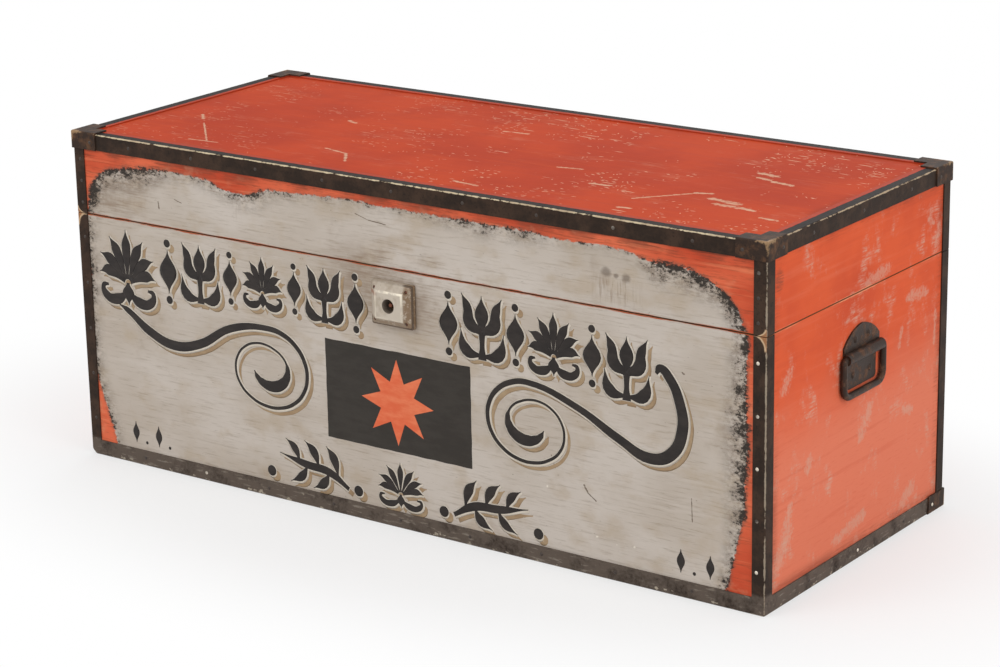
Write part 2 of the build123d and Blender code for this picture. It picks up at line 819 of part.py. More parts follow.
def handle_plate():
    """Sheet with an arched head, a roll over the bail's ends, and a tongue below."""
    face = Plane(origin=(half_length, 0, handle_height), x_dir=(0, 1, 0), z_dir=(1, 0, 0))
    half = handle_plate_width / 2
    with BuildPart() as head:
        with BuildSketch(face):
            with BuildLine():
                Polyline((-half, handle_shoulder), (-half, 0), (half, 0), (half, handle_shoulder))
                rise = handle_apex - handle_shoulder
                lean = (half * handle_dome_fullness, handle_shoulder + rise * handle_dome_fullness)
                ThreePointArc((half, handle_shoulder), lean, (0, handle_apex))
                ThreePointArc((0, handle_apex), (-lean[0], lean[1]), (-half, handle_shoulder))
            make_face()
            with Locations((0, -tongue_drop / 2)):
                Rectangle(tongue_width, tongue_drop)
        extrude(amount=handle_plate_thickness)
    sheet = head.part
    low_edges = sheet.edges().filter_by(Axis.X).group_by(Axis.Z)[0]
    sheet = fillet(low_edges, tongue_corner_radius)
    roll = Pos(bail_axis_x, 0, handle_height) * Rot(90, 0, 0) * Cylinder(roll_outer, handle_plate_width)
    bore = Pos(bail_axis_x, 0, handle_height) * Rot(90, 0, 0) * Cylinder(roll_inner, 2 * handle_plate_width)
    behind = block(
        (half_length - roll_outer, half_length),
        (-half, half),
        (handle_height - roll_outer, handle_height + roll_outer),
    )
    slot = block(
        (half_length - cut_past, bail_axis_x),
        (-handle_plate_width, handle_plate_width),
        (handle_height - roll_inner, handle_height + roll_inner),
    )
    return sheet + (roll - behind) - [bore, slot]


def bail():
    """Round wire bent to a ring, with its two ends turned in under the roll."""
    plane = Plane(origin=(bail_axis_x, 0, handle_height), x_dir=(0, 1, 0), z_dir=(1, 0, 0))
    start = bail_half - bail_stub
    path = plane * FilletPolyline(
        (-start, 0),
        (-bail_half, 0),
        (-bail_half, -bail_drop),
        (bail_half, -bail_drop),
        (bail_half, 0),
        (start, 0),
        radius=[bail_shoulder_radius, bail_corner_radius, bail_corner_radius, bail_shoulder_radius],
    )
    section = Plane(origin=path @ 0, z_dir=path % 0) * Circle(bail_wire_radius)
    return sweep(section, path)


def washered_rivet():
    """A domed rivet through the handle plate and the board, closed over a washer inside."""
    grip = handle_plate_thickness + wall_thickness
    with BuildPart() as made:
        with BuildSketch(Plane.XZ):
            with BuildLine():
                Polyline(
                    (0, -grip - rivet_washer_thickness),
                    (rivet_washer_radius, -grip - rivet_washer_thickness),
                    (rivet_washer_radius, -grip),
                    (rivet_radius, -grip),
                    (rivet_radius, 0),
                    (rivet_head_radius, 0),
                )
                crown = crown_point(rivet_head_radius, rivet_head_height)
                ThreePointArc((rivet_head_radius, 0), crown, (0, rivet_head_height))
                Line((0, rivet_head_height), (0, -grip - rivet_washer_thickness))
            make_face()
        revolve(axis=Axis.Z)
    return made.part


rivet = washered_rivet()
rivet_tool = drill_tool(rivet_radius, handle_plate_thickness + wall_thickness)
rivet_spots = [
    (side * spacing / 2, handle_height + rise)
    for spacing, rise in ((dome_rivet_spacing, dome_rivet_rise), (tongue_rivet_spacing, -tongue_rivet_drop))
    for side in (-1, 1)
]
right_rivet_places = [
    facing((1, 0, 0), (half_length + handle_plate_thickness, y, z)) for y, z in rivet_spots
]
left_rivet_places = [
    facing((-1, 0, 0), (-half_length - handle_plate_thickness, y, z)) for y, z in rivet_spots
]
right_plate = handle_plate()
right_bail = bail()
parts["right_handle_plate"] = drill(right_plate, right_rivet_places, rivet_tool)
parts["left_handle_plate"] = drill(mirror(right_plate, Plane.YZ), left_rivet_places, rivet_tool)
parts["right_handle_rivets"] = group([place * rivet for place in right_rivet_places])
parts["left_handle_rivets"] = group([place * rivet for place in left_rivet_places])
parts["right_bail"] = right_bail
parts["left_bail"] = mirror(right_bail, Plane.YZ)

# Holes for every fastener in the boards, strips and caps

board_holes = [
    (body_tack_places + lid_tack_places, tack_tool),
    (pin_places, pin_tool),
    (lock_places + strike_places + body_hinge_places + lid_hinge_places, countersink),
    (left_rivet_places + right_rivet_places, rivet_tool),
]
wooden = {
    "bottom_board": body["panel"],
    "front_board": body["front"] - keyhole_tool,
    "back_board": body["back"],
    "left_end_board": body["left"],
    "right_end_board": body["right"],
    "lid_top_board": lid["panel"],
    "lid_front_rail": lid["front"],
    "lid_back_rail": lid["back"],
    "lid_left_rail": lid["left"],
    "lid_right_rail": lid["right"],
}
for name, board in wooden.items():
    for places, tool in board_holes:
        board = drill(board, places, tool)
    parts[name] = board

strips = {}
for side in ("front", "back", "left", "right"):
    strips[side + "_bottom_strip"] = bottom_strips[side]
    strips["lid_" + side + "_strip"] = top_strips[side]
for corner in ("front_left", "front_right", "back_left", "back_right"):
    strips[corner + "_post_strip"] = body_posts[corner]
    strips["lid_" + corner + "_post_strip"] = lid_posts[corner]
for name, strip in strips.items():
    parts[name] = drill(strip, body_tack_places + lid_tack_places, tack_tool)
for name in [name for name in parts if name.endswith("_cap")]:
    parts[name] = drill(parts[name], body_tack_places + lid_tack_places, tack_tool)

os.makedirs("parts", exist_ok=True)
for name, shape in parts.items():
    export_step(shape, "parts/" + name + ".step")
print(len(parts), "nodes")
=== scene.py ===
import math
from functools import partial, reduce

import bmesh
import bpy
from mathutils import Matrix, Vector, noise


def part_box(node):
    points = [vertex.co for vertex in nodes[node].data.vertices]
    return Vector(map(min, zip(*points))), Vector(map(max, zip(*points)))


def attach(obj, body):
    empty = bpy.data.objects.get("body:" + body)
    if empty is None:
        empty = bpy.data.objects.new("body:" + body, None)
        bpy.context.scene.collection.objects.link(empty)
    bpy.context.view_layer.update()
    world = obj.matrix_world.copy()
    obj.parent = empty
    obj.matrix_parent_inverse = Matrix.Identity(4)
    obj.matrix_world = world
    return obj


# Painted wooden trunk: finishes for every CAD node, painted ornaments, worn edges, floor, light and camera.
# All places are in metres in the trunk's own frame: +X to its right end, +Y to its back, +Z up.

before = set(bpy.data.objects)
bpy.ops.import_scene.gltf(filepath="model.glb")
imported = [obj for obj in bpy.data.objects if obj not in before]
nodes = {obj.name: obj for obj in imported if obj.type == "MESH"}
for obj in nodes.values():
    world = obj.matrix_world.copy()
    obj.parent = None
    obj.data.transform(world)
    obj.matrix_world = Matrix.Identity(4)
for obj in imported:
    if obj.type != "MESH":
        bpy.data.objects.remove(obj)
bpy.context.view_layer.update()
print("frame loaded,", len(nodes), "nodes")

# The trunk's main places, read from the frame
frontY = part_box("front_board")[0].y
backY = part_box("back_board")[1].y
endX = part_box("right_end_board")[1].x
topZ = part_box("lid_top_board")[1].z
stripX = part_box("front_right_post_strip")[1].x
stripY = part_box("back_left_post_strip")[1].y
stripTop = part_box("lid_front_strip")[1].z
stripWide, postWide, postDeep = 0.019, 0.0185, 0.0175
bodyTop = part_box("front_board")[1].z
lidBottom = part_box("lid_front_rail")[0].z
seamZ = (bodyTop + lidBottom) / 2
plateLow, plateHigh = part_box("escutcheon")
keyholeZ = (plateLow.z + plateHigh.z) / 2
mm = 0.001


# Camera, at the photograph's viewing angle
cameraSettings = {
    "place": (1.8746, -2.5784, 1.1563),
    "azimuth": 36.03,
    "elevation": 17.08,
    "roll": -1.11,
    "lens": 104.27,
    "sensor": 36,
}


def addObject(name, data):
    made = bpy.data.objects.new(name, data)
    bpy.context.scene.collection.objects.link(made)
    return made


def makeCamera(settings):
    data = bpy.data.cameras.new("photoCamera")
    data.lens = settings["lens"]
    data.sensor_width = settings["sensor"]
    camera = addObject("photoCamera", data)
    turn = Matrix.Rotation(math.radians(settings["azimuth"]), 4, "Z")
    tilt = Matrix.Rotation(math.radians(90 - settings["elevation"]), 4, "X")
    roll = Matrix.Rotation(math.radians(settings["roll"]), 4, "Z")
    camera.matrix_world = Matrix.Translation(settings["place"]) @ turn @ tilt @ roll
    bpy.context.scene.camera = camera


makeCamera(cameraSettings)


# Node trees: short ways to add nodes, whose values take plain arithmetic

def paint(red, green, blue):
    # a colour as it looks on screen, 0 to 255, turned into the linear value that a shader takes
    linear = []
    for level in (red, green, blue):
        share = level / 255
        linear.append(share / 12.92 if share <= 0.04045 else ((share + 0.055) / 1.055) ** 2.4)
    return (*linear, 1)


def paints(**colours):
    return {name: paint(*levels) for name, levels in colours.items()}


def arithmetic(operation, swapped=False):
    def work(self, other):
        return maths(operation, other, self) if swapped else maths(operation, self, other)
    return work


class Level:
    # a value on its way through a node tree, open to plain arithmetic
    def __init__(self, socket):
        self.socket = socket
        self.tree = socket.id_data

    def __abs__(self):
        return maths("ABSOLUTE", self)

    __add__, __radd__ = arithmetic("ADD"), arithmetic("ADD", swapped=True)
    __sub__, __rsub__ = arithmetic("SUBTRACT"), arithmetic("SUBTRACT", swapped=True)
    __mul__, __rmul__ = arithmetic("MULTIPLY"), arithmetic("MULTIPLY", swapped=True)
    __truediv__ = arithmetic("DIVIDE")


def feed(socket, value):
    # a socket takes a level, another node's output or a plain value
    if isinstance(value, Level):
        value = value.socket
    if isinstance(value, bpy.types.NodeSocket):
        socket.id_data.links.new(value, socket)
    else:
        socket.default_value = value


def addNode(tree, kind, inputs=None, **settings):
    node = tree.nodes.new(kind)
    for name, value in settings.items():
        setattr(node, name, value)
    for key, value in (inputs or {}).items():
        feed(node.inputs[key], value)
    return node


def addLevels(kind, inputs, **settings):
    # a node beside the first level among its inputs, as a list of its outputs
    tree = next(value.tree for value in inputs.values() if isinstance(value, Level))
    return [Level(output) for output in addNode(tree, kind, inputs, **settings).outputs]


def maths(operation, *values, clamp=False):
    inputs = dict(enumerate(values))
    return addLevels("ShaderNodeMath", inputs, operation=operation, use_clamp=clamp)[0]


def most(*values):
    return reduce(partial(maths, "MAXIMUM"), values)


def least(*values):
    return reduce(partial(maths, "MINIMUM"), values)


def squares(x, y):
    # the square of how far a point lies from zero
    return x * x + y * y


def between(value, low, high):
    # 0 at low and 1 at high, eased; low may be the larger
    inputs = {"Value": value, "From Min": low, "From Max": high}
    return addLevels("ShaderNodeMapRange", inputs, interpolation_type="SMOOTHSTEP")[0]


def band(value, centre, half, soft):
    # 1 within half of the centre, fading out over soft
    return between(abs(value - centre), half + soft, half)


def mix(factor, a, b):
    # from one colour to another
    return addLevels("ShaderNodeMix", {0: factor, 6: a, 7: b}, data_type="RGBA")[2]


def blend(factor, a, b):
    # the same for plain numbers
    return a + factor * (b - a)


def placed(vector, scale=(1, 1, 1), shift=(0, 0, 0), turn=(0, 0, 0)):
    inputs = {"Vector": vector, "Scale": scale, "Location": shift, "Rotation": turn}
    return addLevels("ShaderNodeMapping", inputs)[0]


def split(vector):
    return addLevels("ShaderNodeSeparateXYZ", {0: vector})


def noiseAt(vector, scale, detail=2, rough=0.5):
    # a scale with three numbers stretches the noise, fine where they are large
    if isinstance(scale, tuple):
        vector, scale = placed(vector, scale), 1
    inputs = {"Vector": vector, "Scale": scale, "Detail": detail, "Roughness": rough}
    return addLevels("ShaderNodeTexNoise", inputs)[0]


def place(group, inputs):
    # a node group's outputs by name
    levels = addLevels("ShaderNodeGroup", inputs, node_tree=group)
    return {level.socket.name: level for level in levels}


def curveThrough(value, points):
    # a smooth line through (position, height) points, flat past its ends
    node = addNode(value.tree, "ShaderNodeFloatCurve")
    first, last = points[0][0], points[-1][0]
    low = min(height for at, height in points)
    high = max(height for at, height in points)
    line = node.mapping.curves[0]
    while len(line.points) < len(points):
        line.points.new(0.5, 0.5)
    for point, (at, height) in zip(line.points, points):
        point.location = ((at - first) / (last - first), (height - low) / (high - low))
        point.handle_type = "AUTO_CLAMPED"
    node.mapping.update()
    share = addLevels("ShaderNodeMapRange", {"Value": value, "From Min": first, "From Max": last})[0]
    feed(node.inputs["Value"], share)
    return low + Level(node.outputs[0]) * (high - low)


def newGroup(name, inputs, outputs):
    # a shader node group: its places are vectors, its paints colours, and all else plain values
    group = bpy.data.node_groups.new(name, "ShaderNodeTree")
    kinds = {
        "Vector": "Vector", "Along": "Vector",
        "Colour": "Color", "main": "Color", "deep": "Color", "faded": "Color",
    }
    for side, sockets in (("INPUT", inputs), ("OUTPUT", outputs)):
        for key in sockets:
            group.interface.new_socket(key, in_out=side, socket_type="NodeSocket" + kinds.get(key, "Float"))
    given = {output.name: Level(output) for output in group.nodes.new("NodeGroupInput").outputs}
    return group, given, group.nodes.new("NodeGroupOutput").inputs


# Effects that several finishes share

def makeChips():
    # flecks where a coat has come away: a noise cut off at an amount, 0 none and 1 everywhere
    group, given, made = newGroup("chips", ("Vector", "Scale", "Amount", "Softness"), ("Mask",))
    fine = noiseAt(given["Vector"], given["Scale"], 5, 0.65)
    level = 0.78 - given["Amount"] * 0.56
    feed(made["Mask"], between(fine, level, level + given["Softness"]))
    return group


def makeEdgeWear():
    # how near a point is to the outer edges of the whole trunk, where things rub
    group, given, made = newGroup(
        "edgeWear", ("Vector", "Half Length", "Half Depth", "Top", "Width"), ("Mask", "Corner")
    )
    x, y, z = split(given["Vector"])
    near = []
    for gap in (given["Half Length"] - abs(x), given["Half Depth"] - abs(y), least(z, given["Top"] - z)):
        near.append(maths("SUBTRACT", 1, gap / given["Width"], clamp=True))
    edges = most(near[0] * near[1], near[1] * near[2], near[0] * near[2])
    feed(made["Mask"], maths("POWER", edges, 0.6))
    feed(made["Corner"], maths("POWER", near[0] * near[1] * near[2], 0.4))
    return group


def makeScratches():
    # short straight nicks, most of them along the first axis: stretched cells, of which only a few show
    group, given, made = newGroup("scratches", ("Vector", "Amount"), ("Mask",))
    coords = given["Vector"]
    patch = noiseAt(coords, 11, 3, 0.6)
    amount = given["Amount"] * between(patch, 0.4, 0.66)
    nicks = []
    for scale, turn in (
        ((27, 300, 300), 0.04), ((58, 400, 400), -0.14), ((40, 340, 340), 0.26),
        ((66, 370, 370), 0.95), ((15, 360, 360), -0.45),
    ):
        turned = placed(coords, shift=(turn, 2 * turn, turn), turn=(0, turn, turn))
        distance, tint = addLevels("ShaderNodeTexVoronoi", {"Vector": placed(turned, scale), "Scale": 1})[:2]
        nick = between(distance, 0.36, 0.2)
        nicks.append(nick * between(split(tint)[0] - (1 - amount), 0, 0.04))
    feed(made["Mask"], most(*nicks))
    return group


# seam and endSeam darken the faces in the lid's gap, partly as soil and partly as painted shade
woodLook = paints(
    pale=(196, 158, 112), dark=(128, 90, 56), soil=(96, 70, 46), seam=(74, 46, 32), endSeam=(142, 82, 54),
)


def makeWoodGrain(look):
    # bare softwood with its grain along X
    group, given, made = newGroup("woodGrain", ("Vector",), ("Colour", "Height"))
    coords = given["Vector"]
    warp = noiseAt(placed(coords, (0.6, 8, 8)), 1.6, 3, 0.55)
    y, z = split(coords)[1:]
    across = (y + z) * 55 + warp * 9
    rings = maths("PINGPONG", across, 0.5)
    streaks = noiseAt(coords, (5, 260, 260), 3, 0.6)
    soil = noiseAt(coords, 7, 4, 0.6)
    body = mix(rings * 1.1, look["pale"], look["dark"])
    body = mix(between(streaks, 0.5, 0.75), body, look["dark"])
    body = mix(between(soil, 0.5, 0.8) * 0.5, body, look["soil"])
    feed(made["Colour"], body)
    feed(made["Height"], streaks * 0.7 + rings * 0.3)
    return group


redCoatKeys = ("main", "deep", "faded", "fadeLow", "streak")


def makeRedCoat():
    # orange-red paint, brushed along the first axis and faded towards the foot
    group, given, made = newGroup(
        "redCoat", ("Vector", "Along", *redCoatKeys), ("Colour", "Clouds", "Strokes", "Grain")
    )
    z = split(given["Vector"])[2]
    clouds = noiseAt(given["Vector"], 6, 4, 0.6)
    strokes = noiseAt(given["Along"], (7, 150, 150), 4, 0.6)
    grain = noiseAt(given["Along"], (50, 480, 480), 4, 0.7)
    colour = mix(between(clouds, 0.36, 0.64), given["main"], given["deep"])
    fading = between(z, 0.32, 0.08) + (clouds - 0.5) * 0.7
    fading = between(fading, 0.12, 0.85) * given["fadeLow"]
    colour = mix(fading, colour, given["faded"])
    colour = mix(between(strokes, 0.48, 0.74) * given["streak"], colour, given["faded"])
    colour = mix(between(strokes, 0.46, 0.3) * given["streak"], colour, given["deep"])
    colour = mix(between(grain, 0.52, 0.74) * 0.28, colour, given["deep"])
    for key, value in (("Colour", colour), ("Clouds", clouds), ("Strokes", strokes), ("Grain", grain)):
        feed(made[key], value)
    return group


def chipsOver(vector, scale, amount, softness=0.05, stretch=(1, 1, 1)):
    inputs = {"Vector": placed(vector, stretch), "Scale": scale, "Amount": amount, "Softness": softness}
    return place(chips, inputs)["Mask"]


chips = makeChips()
edgeWear = makeEdgeWear()
scratches = makeScratches()
woodGrain = makeWoodGrain(woodLook)
redCoat = makeRedCoat()


# The front's coat: a grey-white field with a rubbed black edge, inside an orange-red border.
# Lines give the field's outline in metres; weights say how heavy the black is along each side.
# Scrapes and specks are marks as marksAt takes them, each with two ends and a half width.
frontLook = {
    **paints(
        field=(188, 176, 163), fieldPale=(202, 192, 182), fieldWarm=(181, 164, 143),
        fieldDark=(142, 124, 104), border=(227, 109, 73), borderDeep=(196, 72, 42), borderPale=(232, 132, 92),
        black=(45, 40, 36), haze=(100, 85, 72), dirt=(122, 96, 70), rawEdge=(170, 84, 50), speck=(96, 80, 64),
        plug=(104, 90, 78), paleSpeck=(228, 220, 208), borderGrain=(146, 70, 46), borderSoil=(118, 60, 42),
        borderScuff=(214, 150, 116),
    ),
    "scrapes": [
        (247, 100, 252, 92, 1.3), (252, 92, 262, 85, 0.9), (-52, 356, -34, 351, 0.5), (-34, 351, -10, 349, 0.6),
        (-342, 330, -341, 322, 1.1), (-317, 336, -306, 333, 0.6), (370, 246, 372, 245, 1.3),
        (381, 112, 382, 86, 0.6), (205, 126, 210, 112, 0.7),
    ],
    "paleSpecks": [
        (310, 43, 310.8, 43.2, 1.4), (199, 89, 199.6, 89.6, 1.3), (288, 41, 288.4, 41.2, 0.9),
        (262, 45, 264, 45.2, 0.8), (-70, 135, -69, 135.4, 0.7),
    ],
    "drips": [
        ((0.290, 0.016, 0.020), (0.338, 0.328)), ((0.330, 0.004, 0.004), (0.335, 0.345)),
        ((-0.222, 0.003, 0.006), (0.318, 0.340)),
    ],
    "holes": [(0.277, 0.339, 0.0085), (0.302, 0.336, 0.0075), (0.2895, 0.337, 0.004)],
    "topLine": [
        (-0.470, 0.330), (-0.445, 0.338), (-0.432, 0.351), (-0.410, 0.360), (-0.376, 0.364), (-0.320, 0.367),
        (-0.262, 0.364), (-0.240, 0.358), (-0.212, 0.357), (-0.185, 0.362), (-0.140, 0.367), (-0.040, 0.370),
        (0.060, 0.369), (0.155, 0.368), (0.217, 0.366), (0.280, 0.367), (0.318, 0.362), (0.340, 0.358),
        (0.367, 0.357), (0.390, 0.352), (0.405, 0.347), (0.422, 0.337), (0.434, 0.325), (0.470, 0.310),
    ],
    "leftLine": [
        (0.010, -0.428), (0.024, -0.431), (0.048, -0.437), (0.073, -0.445), (0.095, -0.451), (0.117, -0.456),
        (0.294, -0.457), (0.304, -0.452), (0.335, -0.445), (0.351, -0.433), (0.365, -0.410),
    ],
    "rightLine": [
        (0.010, 0.421), (0.024, 0.425), (0.048, 0.431), (0.085, 0.439), (0.115, 0.444), (0.200, 0.446),
        (0.290, 0.445), (0.304, 0.442), (0.329, 0.431), (0.345, 0.414), (0.360, 0.380),
    ],
    "topWeight": [
        (-0.450, 1.0), (-0.400, 1.0), (-0.345, 0.74), (-0.300, 0.48), (-0.250, 0.54), (-0.205, 0.72),
        (-0.160, 0.46), (-0.020, 0.30), (0.060, 0.46), (0.150, 0.62), (0.200, 0.40), (0.270, 0.28),
        (0.325, 0.60), (0.350, 1.0), (0.450, 1.0),
    ],
    "leftWeight": [(0.020, 0.42), (0.070, 0.58), (0.130, 0.56), (0.230, 0.66), (0.295, 0.75), (0.330, 1.0)],
    "rightWeight": [(0.020, 0.80), (0.060, 0.60), (0.110, 0.90), (0.200, 0.98), (0.300, 0.88), (0.330, 1.0)],
}


def marksAt(x, y, marks, fray, outer=1.1, inner=0.5):
    # short scuffs in one plane: each runs between two points and has a half width, all in millimetres
    shown = []
    for numbers in marks:
        x1, y1, x2, y2, half = (number * mm for number in numbers)
        length = math.hypot(x2 - x1, y2 - y1)
        ux, uy = (x2 - x1) / length, (y2 - y1) / length
        dx = x - (x1 + x2) / 2
        dy = y - (y1 + y2) / 2
        along = abs(dx * ux + dy * uy)
        aside = abs(dx * -uy + dy * ux)
        away = aside + most(along - length / 2, 0) + (fray - 0.5) * (half * 3.2)
        shown.append(between(away, half * outer, half * inner))
    return most(*shown)


def makeFrontCoat(look):
    group, given, made = newGroup("frontCoat", ("Vector",), ("Colour", "Roughness", "Height"))
    flat = given["Vector"]
    x, z = split(flat)[::2]

    # depth into the field from its outline, which wanders a little
    slow = noiseAt(flat, 16, 3, 0.55) - 0.5
    fast = noiseAt(placed(flat, (1, 1, 1.5)), 150, 4, 0.75) - 0.5
    fromTop = curveThrough(x, look["topLine"]) - z
    fromLeft = x - curveThrough(z, look["leftLine"])
    fromRight = curveThrough(z, look["rightLine"]) - x
    fromSide = least(fromLeft, fromRight)
    depth = maths("SMOOTH_MIN", fromTop, fromSide, 0.01) + slow * 0.012 + fast * 0.006
    rightHalf = between(x, -0.1, 0.1)
    sideWeight = blend(rightHalf, curveThrough(z, look["leftWeight"]), curveThrough(z, look["rightWeight"]))
    nearTop = between(fromTop - fromSide, 0.006, -0.006)
    weight = blend(nearTop, sideWeight, curveThrough(x, look["topWeight"]))

    # the field: soft greys, short brown grain along the board, soil round the lock and under the lid's left end
    clouds = noiseAt(placed(flat, (1, 1, 1.8)), 6, 4, 0.55)
    mottle = noiseAt(placed(flat, (0.7, 1, 1)), 26, 4, 0.6)
    grain = noiseAt(flat, (30, 1, 420), 5, 0.7)
    strokes = noiseAt(flat, (7, 1, 130), 3, 0.55)
    field = mix(between(clouds, 0.36, 0.66), look["field"], look["fieldPale"])
    field = mix(between(mottle, 0.48, 0.68) * 0.6, field, look["fieldWarm"])
    field = mix(between(strokes, 0.46, 0.32) * 0.45, field, look["fieldPale"])
    field = mix(between(grain, 0.5, 0.72) * 0.44, field, look["fieldDark"])
    pores = chipsOver(flat, 240, 0.19, 0.06, (0.5, 1, 2))
    field = mix(pores * 0.6, field, look["speck"])
    lockRing = squares(x / 0.1, (z - (keyholeZ + 0.02)) / 0.05)
    soiled = most(between(lockRing, 1.6, 0.1) * 0.8, between(x, -0.26, -0.44) * between(z, 0.285, 0.33))
    stains = noiseAt(placed(flat, (1, 1, 1), (3.1, 0, 1.7)), 13, 5, 0.65)
    soiled = soiled * between(stains + grain * 0.5, 0.58, 0.92)
    grime = most(soiled * 0.75, between(stains, 0.58, 0.78) * 0.32)
    field = mix(grime, field, look["dirt"])
    drips = noiseAt(flat, (240, 1, 22), 4, 0.7)
    below = [band(x, *across) * between(z, *fade) for across, fade in look["drips"]]
    dripHere = most(below[0] * between(z, 0.3, 0.316), *below[1:])
    field = mix(between(drips, 0.5, 0.66) * dripHere * 0.5, field, look["dirt"])

    # two plugged holes in the lid, and a few dark scrapes and pale specks
    for holeX, holeZ, reach in look["holes"]:
        spot = maths("SQRT", squares(x - holeX, (z - holeZ) * 1.15)) + fast * 0.005
        field = mix(between(spot, reach, reach * 0.35) * 0.62, field, look["plug"])
    scrapes = marksAt(x, z, look["scrapes"], fast + 0.5)
    field = mix(scrapes * 0.8, field, look["speck"])
    pale = marksAt(x, z, look["paleSpecks"], fast + 0.5)
    field = mix(pale * 0.8, field, look["paleSpeck"])

    # orange-red border, brushed along the board and scuffed
    border = mix(between(clouds, 0.35, 0.65), look["border"], look["borderDeep"])
    border = mix(between(strokes, 0.52, 0.7) * 0.62, border, look["borderPale"])
    border = mix(between(grain, 0.5, 0.7) * 0.65, border, look["borderGrain"])
    highUp = between(z, 0.362, 0.379) * between(mottle + grain * 0.6, 0.66, 0.92)
    border = mix(highUp * 0.7, border, look["borderSoil"])
    border = mix(between(mottle, 0.56, 0.7) * 0.4, border, look["borderScuff"])

    # the black edge: nearly solid on the outline, thinning inwards to specks
    blotch = noiseAt(placed(flat, (1, 1, 1.6)), 46, 4, 0.6) - 0.5
    speckle = noiseAt(placed(flat, (1, 1, 1.5)), 270, 5, 0.75) - 0.5
    texture = 0.5 + blotch * 1.3 + speckle * 2.1
    width = blend(weight, 0.0035, 0.018)
    inShare = depth / width
    inwards = most(inShare, 0) * 0.4
    outwards = most(inShare * -1, 0) * 1.5
    need = 0.3 + (1 - weight) * 0.34 + inwards + outwards
    blackMask = between(texture - need, -0.02, 0.17)
    inField = between(depth + fast * 0.004, -0.0008, 0.0008)
    colour = mix(inField, border, field)
    hazy = between(inShare, 2, 0.1) * between(inShare, -0.45, 0) * between(blotch + speckle * 0.9, -0.2, 0.12)
    colour = mix(hazy * weight * 0.9, colour, look["haze"])
    colour = mix(blackMask * 0.92, colour, look["black"])

    # rubbed through to reddish wood along the seam
    rub = (grain - 0.5) * 0.006 + abs(z - seamZ)
    colour = mix(between(rub, 0.0019, 0.0008), colour, look["rawEdge"])
    feed(made["Colour"], colour)
    feed(made["Roughness"], 0.56 + grain * 0.25)
    feed(made["Height"], grain * 0.6 + (1 - pores) * 0.25 - blackMask * 0.12 - scrapes * 0.3)
    return group


frontCoat = makeFrontCoat(frontLook)
print("shared finishes made")


def newMaterial(name, gloss=0.5):
    material = bpy.data.materials.new(name)
    material.use_nodes = True
    material.node_tree.nodes["Principled BSDF"].inputs["Specular IOR Level"].default_value = gloss
    coords = Level(addNode(material.node_tree, "ShaderNodeTexCoord").outputs["Object"])
    return material, coords


def finishWith(material, colour, roughness, height, bump, metallic=0):
    tree = material.node_tree
    relief = addNode(tree, "ShaderNodeBump", {"Height": height, "Distance": bump, "Strength": 1})
    made = {"Base Color": colour, "Roughness": roughness, "Metallic": metallic, "Normal": relief.outputs[0]}
    for key, value in made.items():
        feed(tree.nodes["Principled BSDF"].inputs[key], value)
    return material


def overBareWood(coords, isFace, colour, roughness, height, grainTurn=(0, 0, 0)):
    # bare wood shows everywhere but on the painted outer face, darkened where the lid meets the body, partly
    # soil and partly painted shade in the gap
    wood = place(woodGrain, {"Vector": placed(coords, turn=grainTurn)})
    x, z = split(coords)[::2]
    # painted shade with some soil: the faces in the gap between lid and body are darkened, less on the end
    # boards
    soiled = band(z, seamZ, 0.0006, 0.0004)
    onEnd = between(abs(x), endX - 0.008, endX - 0.004)
    inside = mix(soiled * 0.75, wood["Colour"], mix(onEnd, woodLook["seam"], woodLook["endSeam"]))
    colour = mix(isFace, inside, colour)
    roughness = blend(isFace, 0.78, roughness)
    height = blend(isFace, wood["Height"], height)
    return colour, roughness, height


def makeFrontPaint():
    material, coords = newMaterial("frontPaint", gloss=0.2)
    isFace = between(split(coords)[1], frontY + 0.0006, frontY + 0.0002)
    coat = place(frontCoat, {"Vector": coords})
    made = overBareWood(coords, isFace, coat["Colour"], coat["Roughness"], coat["Height"])
    return finishWith(material, *made, bump=0.00035)


